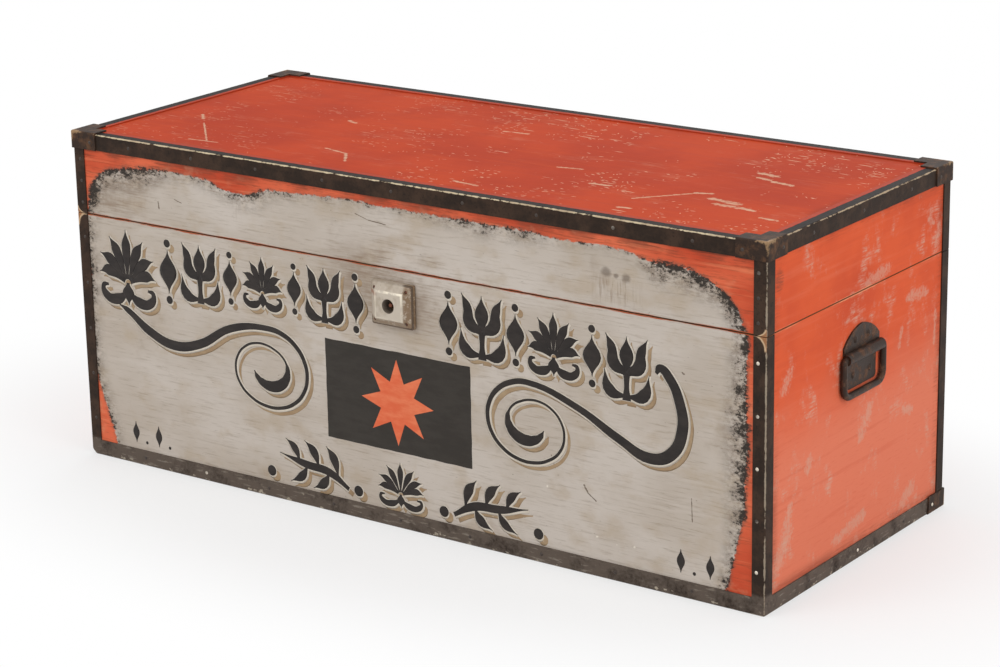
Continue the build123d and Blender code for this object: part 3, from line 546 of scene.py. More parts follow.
# Orange-red coat of the ends, top and back. The axis is the outer face's own direction, and faceAt its place.
redLooks = {
    "end": {
        **paints(
            main=(219, 91, 50), deep=(202, 77, 43), faded=(224, 125, 95), soil=(128, 58, 40),
            seam=(228, 146, 108), scuff=(206, 172, 152), thumb=(112, 62, 46),
        ),
        "axis": 0, "faceAt": endX, "smudge": (-0.169, 0.353, 0.009, 0.014),
        "gloss": 0.14, "fadeLow": 0.92, "scratchAmount": 0.012, "fleckAmount": 0.1, "streak": 0.26,
        "haze": 0.7, "markFade": 0.54, "haziness": (5, 7, 3.6), "markSoft": (2.6, 0),
        "breakup": (340, 340, 230),
        "marks": [
            (-168, 46, -146, 80, 10.5), (-152, 86, -143, 104, 6.5), (100, 30, 124, 46, 8.5),
            (-50, 36, 14, 46, 6.5), (4, 138, 24, 166, 8.5), (-108, 132, -104, 146, 6),
            (-160, 234, -146, 250, 7), (148, 345, 160, 338, 3.6), (166, 312, 172, 334, 4.6),
            (104, 268, 146, 264, 6.2), (86, 216, 92, 236, 3.6), (168, 200, 170, 236, 3),
            (98, 142, 118, 136, 5.5), (12, 306, 60, 312, 7),
        ],
    },
    "top": {
        # The top's reds are darker than the end's: partly the paint's own deeper red, partly painted shade on
        # the upward face.
        **paints(
            main=(200, 71, 33), deep=(183, 60, 30), faded=(206, 92, 54), soil=(150, 60, 34),
            seam=(228, 146, 108), scuff=(226, 192, 162),
        ),
        "axis": 2, "faceAt": topZ,
        "gloss": 0.06, "fadeLow": 0, "scratchAmount": 0.155, "fleckAmount": 0.11, "streak": 0.3,
        "haze": 0.16, "markFade": 0.95, "haziness": (2, 5, 5), "markSoft": (1.6, 0.2),
        "breakup": (42, 520, 520),
        "marks": [
            (-401, -45, -385, -62, 2.6), (-370, -78, -307, -145, 1.6), (-165, -103, -128, -112, 2.2),
            (-128, -112, -108, -140, 2.4), (314, 52, 338, 47, 5), (322, 34, 340, 30, 4),
            (344, 26, 372, 22, 4.2), (182, -82, 206, -79, 4), (326, -70, 366, -76, 5.6),
            (340, -86, 392, -90, 4.4), (256, -112, 304, -56, 2), (300, -58, 318, -52, 3.6),
            (262, -150, 276, -148, 3.6), (-330, -150, -290, -146, 1.8), (50, -150, 86, -154, 2.6),
            (110, -40, 140, -34, 2.6), (-230, 20, -214, 14, 3), (-40, 70, -8, 74, 2.8),
            (410, -110, 432, -112, 3),
        ],
    },
    "back": {
        **paints(
            main=(208, 84, 54), deep=(186, 68, 44), faded=(206, 108, 82), soil=(128, 58, 40),
            seam=(206, 130, 98), scuff=(206, 168, 146),
        ),
        "axis": 1, "faceAt": backY,
        "gloss": 0.1, "fadeLow": 0.6, "scratchAmount": 0.03, "fleckAmount": 0.12, "streak": 0.3,
        "haze": 0.45, "markFade": 0.6, "haziness": (2.5, 5, 4), "markSoft": (1.6, 0.1),
        "breakup": (110, 150, 90),
        "marks": [
            (-400, 60, -330, 66, 7), (-120, 150, 20, 156, 5), (80, 40, 150, 46, 8), (300, 190, 340, 205, 6),
            (210, 110, 290, 104, 4), (-260, 240, -230, 210, 4.5), (-40, 340, 30, 344, 4.5),
            (380, 52, 420, 60, 8), (-420, 330, -390, 350, 5), (120, 262, 200, 266, 3.5),
        ],
    },
}


def brushedRed(coords, along, look):
    return place(redCoat, {"Vector": coords, "Along": along, **{key: look[key] for key in redCoatKeys}})


def makeRedPaint(name, look):
    material, coords = newMaterial(name, gloss=look["gloss"])
    parts = split(coords)
    axis, faceAt = look["axis"], look["faceAt"]
    isFace = between(abs(parts[axis]), faceAt - 0.0006, faceAt - 0.0002)
    turn = (0, 0, math.pi / 2) if axis == 0 else (0, 0, 0)
    along = placed(coords, turn=turn)
    colour, clouds, strokes, grain = brushedRed(coords, along, look).values()
    # soil where the strips meet the board
    near = []
    for direction, reach in enumerate((stripX - postWide, stripY - postDeep, stripTop - stripWide)):
        if direction != axis:
            gap = reach - abs(parts[direction])
            if direction == 2:
                gap = least(gap, parts[2] - stripWide)
            near.append(between(gap, 0.014, 0))
    grimed = most(*near) * between(clouds + grain * 0.5, 0.62, 0.9)
    colour = mix(grimed * 0.55, colour, look["soil"])
    # soft chalky rubs, then small flecks, nicks and the marks that can be placed one by one
    rubs = noiseAt(placed(along, look["haziness"], (0.4, 0, 0.9)), 6, 5, 0.7)
    hazy = between(rubs, 0.53, 0.72) * between(grain, 0.38, 0.62)
    colour = mix(hazy * look["haze"], colour, look["scuff"])
    patch = between(noiseAt(coords, 12, 3, 0.6), 0.46, 0.64)
    flecks = patch * chipsOver(along, 190, look["fleckAmount"], stretch=(0.5, 1.4, 1.4))
    lines = place(scratches, {"Vector": along, "Amount": look["scratchAmount"]})["Mask"]
    lines = lines * blend(between(parts[0], -0.28, 0.12), 0.35, 0.9)
    fray = noiseAt(placed(along, (0.8, 1.3, 1.3)), 170, 5, 0.75)
    marked = marksAt(*parts[:axis], *parts[axis + 1:], look["marks"], fray, *look["markSoft"])
    broken = noiseAt(along, look["breakup"], 5, 0.7)
    side = blend(between(parts[axis], -0.1, 0.1), 0.45, 1)
    marked = side * between(broken + marked * 0.5, 0.74, 1.06)
    bare = most(flecks * 0.7, lines, marked * look["markFade"])
    colour = mix(bare * 0.85, colour, look["scuff"])
    if "smudge" in look:
        # a dark thumb smudge beside the front post of the right end
        smudgeY, smudgeZ, wide, tall = look["smudge"]
        smudge = squares((parts[1] - smudgeY) / wide, (parts[2] - smudgeZ) / tall)
        smudge = between(smudge, 1.2, 0.2) * between(grain, 0.36, 0.62) * between(parts[0], 0, 0.1)
        colour = mix(smudge * 0.6, colour, look["thumb"])
    rub = (grain - 0.5) * 0.005 + abs(parts[2] - seamZ)
    colour = mix(between(rub, 0.0022, 0.0012) * between(clouds, 0.42, 0.58), colour, look["seam"])
    roughness = 0.52 + strokes * 0.2 + bare * 0.15
    height = strokes * 0.4 + grain * 0.3 - bare * 0.5
    made = overBareWood(coords, isFace, colour, roughness, height, turn)
    return finishWith(material, *made, bump=0.00025)


# Interior and underside boards, all bare
def makeBareWood():
    material, coords = newMaterial("bareWood")
    wood = place(woodGrain, {"Vector": coords})
    return finishWith(material, wood["Colour"], 0.72 + wood["Height"] * 0.15, wood["Height"], 0.0003)


# Dark strips: brown-black, scuffed, rubbed pale on the trunk's edges, with painted shade on their top flanges
# and on the red that runs over them
# The flange colour is painted shade on the top flanges; the last colour darkens the red run over them, also as
# painted shade.
stripLook = {
    **paints(
        dark=(49, 39, 33), brown=(69, 53, 43), deep=(32, 26, 23), pale=(226, 208, 174), dull=(156, 142, 124),
        nick=(186, 174, 156), raw=(158, 112, 78), foot=(104, 93, 84), flange=(24, 17, 16), tan=(190, 168, 140),
        curl=(206, 176, 142), scuffLine=(146, 136, 124), runRed=(168, 60, 38),
    ),
    "flangeWide": (0.0119, 0.0126),
    "curlFrom": 0.4555, "curlWide": 0.0125, "curlDown": -0.015, "curlUp": 0.008,
}


def makeStripPaint(look):
    material, coords = newMaterial("stripPaint", gloss=0.08)
    x, y, z = split(coords)
    mottle = noiseAt(coords, 34, 5, 0.65)
    fine = noiseAt(coords, 260, 4, 0.65)
    colour = mix(between(mottle, 0.4, 0.66), look["dark"], look["brown"])
    colour = mix(between(fine, 0.52, 0.72) * 0.4, colour, look["brown"])
    colour = mix(between(fine, 0.46, 0.3) * 0.6, colour, look["deep"])
    low = between(z + (mottle - 0.5) * 0.012, 0.024, 0.019)
    scuffed = low * between(mottle + (fine - 0.5) * 0.4, 0.2, 0.56)
    colour = mix(scuffed * 0.8, colour, look["foot"])
    streaks = noiseAt(coords, (50, 50, 330), 4, 0.65)
    streaks = between(streaks, 0.56, 0.66) * between(mottle, 0.4, 0.56)
    colour = mix(streaks * low * 0.65, colour, look["scuffLine"])
    amount = 0.1 + low * 0.06 + between(z, 0.01, 0.002) * 0.2
    nicks = chipsOver(coords, 120, amount, stretch=(0.55, 0.55, 1))
    colour = mix(nicks * 0.75, colour, look["nick"])
    # the top flanges are painted the darkest, as painted shade on their upper faces, and the top's red coat,
    # darkened as painted shade, runs over their inner part
    inward = least(stripX - abs(x), stripY - abs(y))
    onShadedFlange = between(z, stripTop - 0.0006, stripTop - 0.0002)
    colour = mix(onShadedFlange * 0.75, colour, look["flange"])
    red = brushedRed(coords, coords, redLooks["top"])["Colour"]
    farSides = most(between(x, -0.44, -0.46), between(y, 0.17, 0.19))
    wander = noiseAt(coords, 90, 4, 0.7) - 0.5
    inward = inward - farSides * 0.002 - wander * 0.003
    runOver = between(inward, *look["flangeWide"]) * between(z, topZ - 0.0012, topZ - 0.0004)
    # painted shade: the red run over the flanges is mixed halfway to a darker red
    colour = mix(runOver, colour, mix(0.55, red, look["runRed"]))
    # rubbed edges: cream along the top, dull grey up the posts, broken by chips
    edge = place(edgeWear, {
        "Vector": coords, "Half Length": stripX, "Half Depth": stripY, "Top": stripTop, "Width": 0.0022,
    })["Mask"]
    breaks = noiseAt(coords, 26, 3, 0.6) - 0.5
    fray = noiseAt(coords, 170, 4, 0.75) - 0.5
    onTop = between(z, 0.388, 0.394)
    toFront, toRight = between(y, -0.17, -0.19), between(x, 0.44, 0.46)
    ease = most(toFront * 0.18, toRight * 0.15)
    onPosts = 0.04 + toFront * toRight * 0.14
    wanted = edge * 0.75 + blend(onTop, onPosts, ease) + breaks * 0.6 + fray * 0.85
    rubbed = between(wanted, 0.54, 0.66) * between(edge, 0.3, 0.5)
    rubColour = mix(between(breaks, -0.02, 0.09) * 0.8, look["pale"], look["tan"])
    rubColour = mix(toFront, look["tan"], rubColour)
    colour = mix(rubbed * 0.9, colour, mix(onTop, look["dull"], rubColour))
    # the front posts' ends at the seam are bent back round, with raw wood in the corner
    outwards = (abs(x) - look["curlFrom"]) / look["curlWide"]
    tall = blend(between(z, seamZ - 0.001, seamZ + 0.001), look["curlDown"], look["curlUp"])
    downwards = (z - seamZ) / tall
    ring = maths("SQRT", squares(outwards, 1 - downwards) + fray * 0.35)
    atEnd = between(outwards, -0.15, 0.1) * between(downwards, 1.1, 0.9) * between(y, -0.17, -0.185)
    onFront = between(abs(x), stripX - 0.0002, stripX - 0.0008)
    colour = mix(atEnd * onFront * between(ring, 1, 1.08), colour, look["raw"])
    line = atEnd * blend(onFront, 0.4, 1) * band(ring, 1.02, 0.03, 0.08)
    colour = mix(line * 0.9, colour, look["curl"])
    roughness = 0.44 + fine * 0.22 + most(rubbed, line) * 0.2
    height = fine * 0.4 - most(nicks, rubbed) * 0.5
    return finishWith(material, colour, roughness, height, 0.0004)


# Corner caps: the same dark paint gone to rust, bare on their outer corners
capLook = paints(dark=(54, 40, 32), rust=(98, 68, 47), bare=(166, 136, 102), deep=(32, 25, 21))


def makeCapIron(look):
    material, coords = newMaterial("capIron", gloss=0.25)
    mottle = noiseAt(coords, 55, 5, 0.65)
    fine = noiseAt(coords, 330, 4, 0.7)
    colour = mix(between(mottle, 0.44, 0.66), look["dark"], look["rust"])
    colour = mix(between(fine, 0.5, 0.34) * 0.6, colour, look["deep"])
    capLow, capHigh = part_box("lid_front_right_corner_cap")
    reach = {"Vector": coords, "Half Length": capHigh.x, "Half Depth": -capLow.y, "Top": capHigh.z}
    edge = place(edgeWear, {**reach, "Width": 0.0042})
    corner = place(edgeWear, {**reach, "Width": 0.016})
    worn = edge["Mask"] * 0.52 + corner["Corner"] * 0.42
    breaks = mottle - 0.5 + (fine - 0.5) * 0.8
    worn = between(worn + breaks * 1.3, 0.46, 0.74)
    colour = mix(worn * 0.75, colour, look["bare"])
    metallic = 0.25 + worn * 0.45
    roughness = 0.52 + fine * 0.25 - worn * 0.12
    height = fine * 0.5 + mottle * 0.5
    return finishWith(material, colour, roughness, height, 0.0005, metallic)


# Tacks: blackened heads, bright where they have been rubbed on the front right edge
tackLook = paints(dark=(58, 48, 42), bright=(214, 204, 188), rust=(92, 70, 52))


def makeTackMetal(look):
    material, coords = newMaterial("tackMetal")
    x, y, z = split(coords)
    each = noiseAt(coords, 18, 0)
    onPost = between(x, 0.44, 0.455) * between(y, -0.18, -0.19)
    onLid = onPost * between(z, 0.315, 0.325)
    bright = between(each + onPost * 0.29 + onLid * 0.14, 0.72, 0.78)
    fine = noiseAt(coords, 900, 3, 0.6)
    colour = mix(bright, look["dark"], look["bright"])
    colour = mix(between(fine, 0.5, 0.7) * 0.3, colour, look["rust"])
    metallic = 0.3 + bright * 0.5
    return finishWith(material, colour, 0.32 + fine * 0.25, fine, 0.0001, metallic)


# Escutcheon: the front's grey paint on iron, rubbed bright along the edges of its face, with a painted
# highlight along its upper edge and painted shade on its right and lower bevels, in its steps and in its
# keyhole
# Of these colours, dirt also serves as painted shade on the right and lower bevels, rubbed as a painted
# highlight on the upper edge, step as painted shadow in the steps, and the last as painted shade in the
# keyhole.
plateLook = {
    **paints(
        coat=(198, 186, 170), shade=(178, 164, 146), rubbed=(238, 228, 208), dirt=(126, 100, 72),
        step=(70, 52, 36), rust=(140, 78, 48), pit=(110, 84, 62), bore=(58, 40, 30),
    ),
    "faceHalfX": 0.018, "faceHalfZ": 0.015,
}


def makePlatePaint(look):
    material, coords = newMaterial("platePaint")
    x, y, z = split(coords)
    up = z - keyholeZ
    edgeX = abs(x) - look["faceHalfX"]
    edgeZ = abs(up) - look["faceHalfZ"]
    ring = most(edgeX, edgeZ)
    fine = noiseAt(coords, 260, 5, 0.7)
    broad = noiseAt(coords, 60, 4, 0.6)
    colour = mix(between(broad, 0.42, 0.62), look["coat"], look["shade"])
    onBevel = between(ring, 0.0005, 0.002)
    # painted shade with a little soil: the right and lower bevels are darkened strongly, the rest of the bevel
    # only slightly
    rightBevelShade = onBevel * between(x, 0.014, 0.022)
    below = onBevel * between(up, -0.012, -0.018)
    soil = most(rightBevelShade * 0.95, below * 0.75, onBevel * 0.2) * between(fine, 0.28, 0.52)
    colour = mix(soil, colour, look["dirt"])
    proud = frontY - y
    # painted shadow: dark lines in the steps and where the plinth meets the board, strongest on the right and
    # lower sides
    shaded = most(between(x, 0.01, 0.02), between(up, -0.01, -0.02) * 0.8, 0.25)
    steps = most(band(proud, 0.0051, 0.0005, 0.0005), between(proud, 0.0016, 0.0005))
    colour = mix(steps * shaded * 0.85, colour, look["step"])
    # the face's edges: rubbed bright as real wear, and lightened more along the upper edge as a painted
    # highlight
    rubbedRimAndHighlight = band(ring, 0, 0.0007, 0.001)
    upper = 0.45 + between(up, 0, 0.014) * 0.55
    rubbedRimAndHighlight = rubbedRimAndHighlight * upper * between(broad, 0.34, 0.5)
    colour = mix(rubbedRimAndHighlight, colour, look["rubbed"])
    spots = chipsOver(coords, 330, 0.2, 0.04)
    colour = mix(spots * 0.7, colour, look["pit"])
    rustMask = between(x, -0.012, -0.022) * between(abs(up - 0.012), 0.004, 0)
    colour = mix(rustMask * 0.7, colour, look["rust"])
    # painted shade: the inside of the keyhole is coloured near black-brown
    keyholeShade = maths("SQRT", squares(x, up))
    colour = mix(between(keyholeShade, 0.0086, 0.0076), colour, look["bore"])
    roughness = 0.4 + fine * 0.2 - rubbedRimAndHighlight * 0.15
    metallic = rubbedRimAndHighlight * 0.35
    height = fine * 0.5 - spots * 0.4
    return finishWith(material, colour, roughness, height, 0.0004, metallic)


# Iron of the handles, hinges and lock
ironLooks = {
    "handleIron": {
        **paints(dark=(52, 38, 30), rust=(96, 66, 48), worn=(130, 110, 92)),
        "rustAmount": 0.6, "metallic": 0.25, "gloss": 0.25,
    },
    "lockIron": {
        **paints(dark=(92, 84, 76), rust=(120, 84, 56), worn=(168, 158, 144)),
        "rustAmount": 0.35, "metallic": 0.8, "gloss": 0.5,
    },
    "rustyPin": {
        **paints(dark=(92, 52, 38), rust=(128, 72, 48), worn=(176, 120, 90)),
        "rustAmount": 0.6, "metallic": 0.3, "gloss": 0.5,
    },
}


def makeIron(name, look):
    material, coords = newMaterial(name, gloss=look["gloss"])
    broad = noiseAt(coords, 70, 4, 0.6)
    fine = noiseAt(coords, 420, 5, 0.7)
    level = 0.66 - look["rustAmount"] * 0.3
    rust = between(broad * 0.7 + fine * 0.3, level, level + 0.16)
    colour = mix(rust, look["dark"], look["rust"])
    worn = between(fine, 0.54, 0.72) * between(broad, 0.45, 0.62)
    colour = mix(worn * 0.6, colour, look["worn"])
    metallic = look["metallic"] - rust * (look["metallic"] * 0.7)
    roughness = 0.38 + rust * 0.25 + fine * 0.15
    return finishWith(material, colour, roughness, fine * 0.6 + rust * 0.4, 0.0004, metallic)


frontPaint = makeFrontPaint()
endPaint, topPaint, backPaint = [makeRedPaint(name + "Paint", look) for name, look in redLooks.items()]
bareWood = makeBareWood()
stripPaint = makeStripPaint(stripLook)
capIron = makeCapIron(capLook)
tackMetal = makeTackMetal(tackLook)
platePaint = makePlatePaint(plateLook)
handleIron, lockIron, rustyPin = [makeIron(name, look) for name, look in ironLooks.items()]


def finishOf(name):
    # which finish a CAD node takes, by its name
    exact = {
        "front_board": frontPaint, "lid_front_rail": frontPaint, "back_board": backPaint,
        "lid_back_rail": backPaint, "lid_top_board": topPaint, "bottom_board": bareWood,
        "lock_drill_pin": rustyPin, "escutcheon": platePaint, "escutcheon_pins": rustyPin,
    }
    if name in exact:
        return exact[name]
    if name.endswith(("_end_board", "_rail")):
        return endPaint
    if name.endswith("_strip"):
        return stripPaint
    if name.endswith("_cap"):
        return capIron
    if name.endswith("_tacks"):
        return tackMetal
    if "handle" in name or "bail" in name:
        return handleIron
    return lockIron


for name, node in nodes.items():
    node.data.materials.clear()
    node.data.materials.append(finishOf(name))
print("finishes on the CAD nodes")


# Painted ornaments on the front. Each brush stroke is a tapered round line, pressed nearly flat,
# so that it stands a hair above the board. Strokes are lists of (x, z, half width) in millimetres.
paintLayers = {
    "shadow": {"lift": 0.02, "thickness": 0.07, "grow": 0.2, "shift": (6.2, -5.6), "paint": "shadowStroke"},
    "outline": {"lift": 0.07, "thickness": 0.07, "grow": 2, "shift": (0.8, -0.7), "paint": "outlineStroke"},
    "stroke": {"lift": 0.14, "thickness": 0.08, "grow": 0, "shift": (0, 0), "paint": "blackStroke"},
}
brushSettings = {"sides": 2, "steps": 6, "thinnest": 0.25}


def makeStrokePaint(name, main, second, wear):
    # brushed paint, worn through in flecks to the coat under it
    material, coords = newMaterial(name, gloss=0.2)
    coat = place(frontCoat, {"Vector": coords})
    strokes = noiseAt(coords, (40, 1, 120), 4, 0.6)
    broad = noiseAt(coords, 24, 3, 0.6)
    colour = mix(between(strokes * 0.6 + broad * 0.4, 0.4, 0.62), main, second)
    flecks = chipsOver(coords, 170, wear, stretch=(0.5, 1, 1.7))
    colour = mix(flecks, colour, coat["Colour"])
    roughness = blend(flecks, 0.42 + strokes * 0.15, coat["Roughness"])
    return finishWith(material, colour, roughness, blend(flecks, strokes, coat["Height"]), 0.0002)


strokeLooks = {
    "blackStroke": ((42, 37, 35), (54, 48, 45), 0.1),
    "shadowStroke": ((158, 132, 102), (170, 146, 116), 0.22),
    "outlineStroke": ((214, 204, 190), (206, 195, 179), 0.16),
    "panelBlack": ((52, 47, 42), (59, 54, 49), 0.08),
    "motifRed": ((226, 104, 66), (234, 128, 88), 0.14),
}
strokePaints = {
    name: makeStrokePaint(name, paint(*main), paint(*second), wear)
    for name, (main, second, wear) in strokeLooks.items()
}


def strokesToMesh(name, strokes, layer):
    curve = bpy.data.curves.new(name + "Line", "CURVE")
    curve.dimensions = "3D"
    curve.bevel_depth = 1
    curve.bevel_resolution = brushSettings["sides"]
    curve.resolution_u = brushSettings["steps"]
    curve.use_fill_caps = True
    for stroke in strokes:
        spline = curve.splines.new("BEZIER")
        spline.bezier_points.add(len(stroke) - 1)
        spline.radius_interpolation = "EASE"
        spline.tilt_interpolation = "LINEAR"
        for point, (x, z, half) in zip(spline.bezier_points, stroke):
            point.co = (x + layer["shift"][0], 0, z + layer["shift"][1])
            point.radius = max(half + layer["grow"], brushSettings["thinnest"])
            point.handle_left_type = point.handle_right_type = "AUTO"
    holder = addObject(name, curve)
    bpy.context.view_layer.update()
    mesh = bpy.data.meshes.new_from_object(holder.evaluated_get(bpy.context.evaluated_depsgraph_get()))
    bpy.data.objects.remove(holder)
    bpy.data.curves.remove(curve)
    widest = max(half for stroke in strokes for x, z, half in stroke) + layer["grow"]
    flatten = Matrix.Diagonal((mm, mm * layer["thickness"] / widest, mm, 1))
    mesh.transform(Matrix.Translation((0, frontY - layer["lift"] * mm, 0)) @ flatten)
    work = bmesh.new()
    work.from_mesh(mesh)
    bmesh.ops.remove_doubles(work, verts=work.verts, dist=1e-7)
    bmesh.ops.recalc_face_normals(work, faces=work.faces)
    work.to_mesh(mesh)
    work.free()
    addPiece(name, mesh, strokePaints[layer["paint"]], smooth=True)


def addPiece(name, mesh, material, smooth=False):
    # a piece of paint on the trunk's front
    mesh.name = name
    mesh.materials.clear()
    mesh.materials.append(material)
    for face in mesh.polygons:
        face.use_smooth = smooth
    piece = addObject(name, mesh)
    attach(piece, "trunk_body")


# Ornament shapes in a unit box: x from -0.5 to 0.5 and z from 0 to 1
def leaf(x1, z1, x2, z2, half, bend=0, belly=0.45):
    # a brush leaf from its stalk to its tip
    middleX = x1 + (x2 - x1) * belly - (z2 - z1) * bend
    middleZ = z1 + (z2 - z1) * belly + (x2 - x1) * bend
    return [(x1, z1, half * 0.25), (middleX, middleZ, half), (x2, z2, 0.004)]


def mirrored(stroke, side):
    return [(side * x, z, half) for x, z, half in stroke]


def dot(x, z, reach):
    # a round dot: a short stroke whose half width follows a circle
    shares = (-0.98, -0.86, -0.6, -0.3, 0, 0.3, 0.6, 0.86, 0.98)
    return [(x + share * reach, z, reach * math.sqrt(1 - share * share)) for share in shares]


def tulip():
    shapes = [[(0, 0, 0.075), (0, 0.22, 0.045), (0, 0.46, 0.06)]]
    petal = [(0.02, 0.44, 0.06), (0.22, 0.55, 0.108), (0.26, 0.78, 0.08), (0.37, 1, 0.006)]
    for side in (-1, 1):
        shapes.append(mirrored(leaf(0, 0.06, 0.4, 0.46, 0.1, bend=-0.3), side))
        shapes.append(mirrored(petal, side))
    shapes.append(leaf(0, 0.42, 0, 1, 0.125, belly=0.48))
    return shapes


def palmette():
    shapes = []
    for index in range(-3, 4):
        angle = math.pi / 2 - index * 0.46
        reach = 0.66 - 0.055 * abs(index) ** 1.25
        foot = (0.05 * math.cos(angle), 0.3 + 0.05 * math.sin(angle))
        tip = (foot[0] + reach * math.cos(angle), foot[1] + reach * math.sin(angle))
        shapes.append(leaf(*foot, *tip, 0.077, bend=0.05 * index, belly=0.66))
    curl = [
        (0.02, 0.17, 0.03), (0.19, 0.06, 0.074), (0.38, 0.08, 0.062), (0.43, 0.21, 0.036), (0.34, 0.24, 0.018),
    ]
    shapes += [mirrored(curl, side) for side in (-1, 1)]
    shapes.append(leaf(0, 0.3, 0, 0, 0.1))
    return shapes


def lozenge():
    return [[(0, 0.17, 0.004), (0, 0.5, 0.165), (0, 0.83, 0.004)], dot(0, 0.93, 0.062), dot(0, 0.07, 0.062)]


def spray(side):
    # a leafy branch that leans away from the middle
    shapes = [[(-0.52, 0.14, 0.05), (-0.22, 0.42, 0.095), (0.14, 0.48, 0.09), (0.56, 0.62, 0.01)]]
    for x, z, reachX, reachZ, half in (
        (-0.36, 0.34, 0.18, 0.66, 0.115), (-0.06, 0.46, 0.22, 0.56, 0.112), (0.24, 0.5, 0.22, 0.48, 0.095),
        (-0.22, 0.4, 0.26, -0.42, 0.112), (0.12, 0.46, 0.28, -0.44, 0.1),
    ):
        shapes.append([
            (x, z, 0.02), (x + reachX * 0.35, z + reachZ * 0.62, half), (x + reachX, z + reachZ, 0.006),
        ])
    return [mirrored(shape, side) for shape in shapes]


def placedOrnament(shapes, x, low, high, stretch=1):
    # puts a unit ornament on the board, upright from low to high, in millimetres
    scale = high - low
    wide = scale * stretch
    return [[(x + sx * wide, low + sz * scale, half * scale) for sx, sz, half in shape] for shape in shapes]


def widthOf(shapes):
    points = [point for shape in shapes for point in shape]
    return max(sx + half for sx, sz, half in points) - min(sx - half for sx, sz, half in points)


# Rows of ornaments above the scrolls, spaced by their widths, and the line near the foot
rowSettings = {
    "left": {"from": -441, "to": -44, "low": (197, 224, 218), "high": (288, 286, 288),
             "kinds": (palmette, lozenge, tulip, lozenge, palmette, lozenge, tulip, lozenge)},
    "right": {"from": 60, "to": 330, "low": (214, 216, 204), "high": (288, 286, 274),
              "kinds": (lozenge, tulip, lozenge, palmette, lozenge, tulip)},
}
footSettings = {
    "low": 24, "high": 77, "spray": 122, "dots": (60, 187), "dotReach": 6.4, "dotHeight": 32,
    "palmetteStretch": 1.25, "sprayStretch": 1.75,
}
scrollSettings = {
    "left": {"tail": [(-412, 196, 1), (-398, 190, 4), (-366, 170, 5.8), (-329, 159, 6), (-289, 167, 5.4),
                      (-240, 194, 4.6)],
             "centre": (-184, 156), "reach": (55, 47), "way": 1},
    "right": {"tail": [(338, 240, 2), (343, 246, 5), (354, 238, 5.6), (367, 212, 6.2), (370, 184, 6.8),
                       (356, 155, 6.8), (330, 146, 6.2), (292, 160, 5.2), (240, 185, 4)],
              "centre": (174, 157), "reach": (52, 45), "way": -1},
}
spiralSettings = {
    "turns": 1.7, "points": 26, "shrinkFrom": 0.62, "shrinkTo": 1.1, "inner": 0.5, "last": 0.4,
    "thick": 3.4, "thin": 1.4, "swellFrom": 1.18, "swell": 5.4,
}


def scrollStroke(settings, spiral):
    stroke = list(settings["tail"])
    centreX, centreZ = settings["centre"]
    for step in range(spiral["points"] + 1):
        turned = spiral["turns"] * step / spiral["points"]
        share = (turned - spiral["shrinkFrom"]) / (spiral["shrinkTo"] - spiral["shrinkFrom"])
        share = min(max(share, 0), 1)
        shrink = 1 - (1 - spiral["inner"]) * share * share * (3 - 2 * share)
        shrink -= (spiral["inner"] - spiral["last"]) * max(0, turned - spiral["shrinkTo"])
        angle = math.pi / 2 - settings["way"] * turned * 2 * math.pi
        x = centreX + settings["reach"][0] * shrink * math.cos(angle)
        z = centreZ + settings["reach"][1] * shrink * math.sin(angle)
        half = spiral["thick"] - (spiral["thick"] - spiral["thin"]) * math.sin(min(turned, 1) * math.pi / 2)
        late = (turned - spiral["swellFrom"]) / (spiral["turns"] - spiral["swellFrom"])
        half += spiral["swell"] * max(0, math.sin(max(late, 0) * math.pi))
        stroke.append((x, z, half * (0.5 if step == spiral["points"] else 1)))
    return stroke


def makeRows():
    strokes = []
    for row in rowSettings.values():
        made = [kind() for kind in row["kinds"]]
        steps = len(made) - 1
        spots = []
        for index in range(len(made)):
            share = index / steps
            arch = 4 * share * (1 - share)
            ends = []
            for first, middle, last in (row["low"], row["high"]):
                level = first + (last - first) * share
                ends.append(level + (middle - (first + last) / 2) * arch)
            spots.append(ends)
        widths = [widthOf(shapes) * (high - low) for shapes, (low, high) in zip(made, spots)]
        gap = (row["to"] - row["from"] - sum(widths)) / steps
        x = row["from"]
        for shapes, (low, high), width in zip(made, spots, widths):
            strokes += placedOrnament(shapes, x + width / 2, low, high)
            x += width + gap
    return strokes


def makeFootLine(settings):
    # a palmette between two leafy branches, with round dots between them
    low, high = settings["low"], settings["high"]
    strokes = placedOrnament(palmette(), 0, low, high, settings["palmetteStretch"])
    for side in (-1, 1):
        strokes += placedOrnament(spray(side), side * settings["spray"], low, high, settings["sprayStretch"])
        strokes += [dot(side * x, settings["dotHeight"], settings["dotReach"]) for x in settings["dots"]]
    return strokes


def makeCornerMarks():
    strokes = []
    for centre in (-375, 390):
        for offset in (-22, 14):
            strokes.append([(centre + offset, 27, 0.4), (centre + offset, 40, 5), (centre + offset, 53, 0.4)])
            strokes.append(dot(centre + offset + 16.6, 29, 2))
    return strokes


upperStrokes = makeRows() + [scrollStroke(one, spiralSettings) for one in scrollSettings.values()]
lowerStrokes = makeFootLine(footSettings)
for groupName, strokes in (("upper", upperStrokes), ("lower", lowerStrokes)):
    strokesToMesh(groupName + "_ornament_shadow", strokes, paintLayers["shadow"])
    strokesToMesh(groupName + "_ornament_outline", strokes, paintLayers["outline"])
    strokesToMesh(groupName + "_ornament", strokes, paintLayers["stroke"])
strokesToMesh("corner_marks", makeCornerMarks(), paintLayers["stroke"])
print("ornaments painted")


# Black panel with an eight-pointed star in orange-red
panelSettings = {
    "left": -101, "right": 100, "low": 89.5, "high": 206, "thickness": 0.1, "wander": 0.5,
    "starX": -1, "starZ": 147, "starReach": 50, "starNotch": 25, "starThickness": 0.2,
}


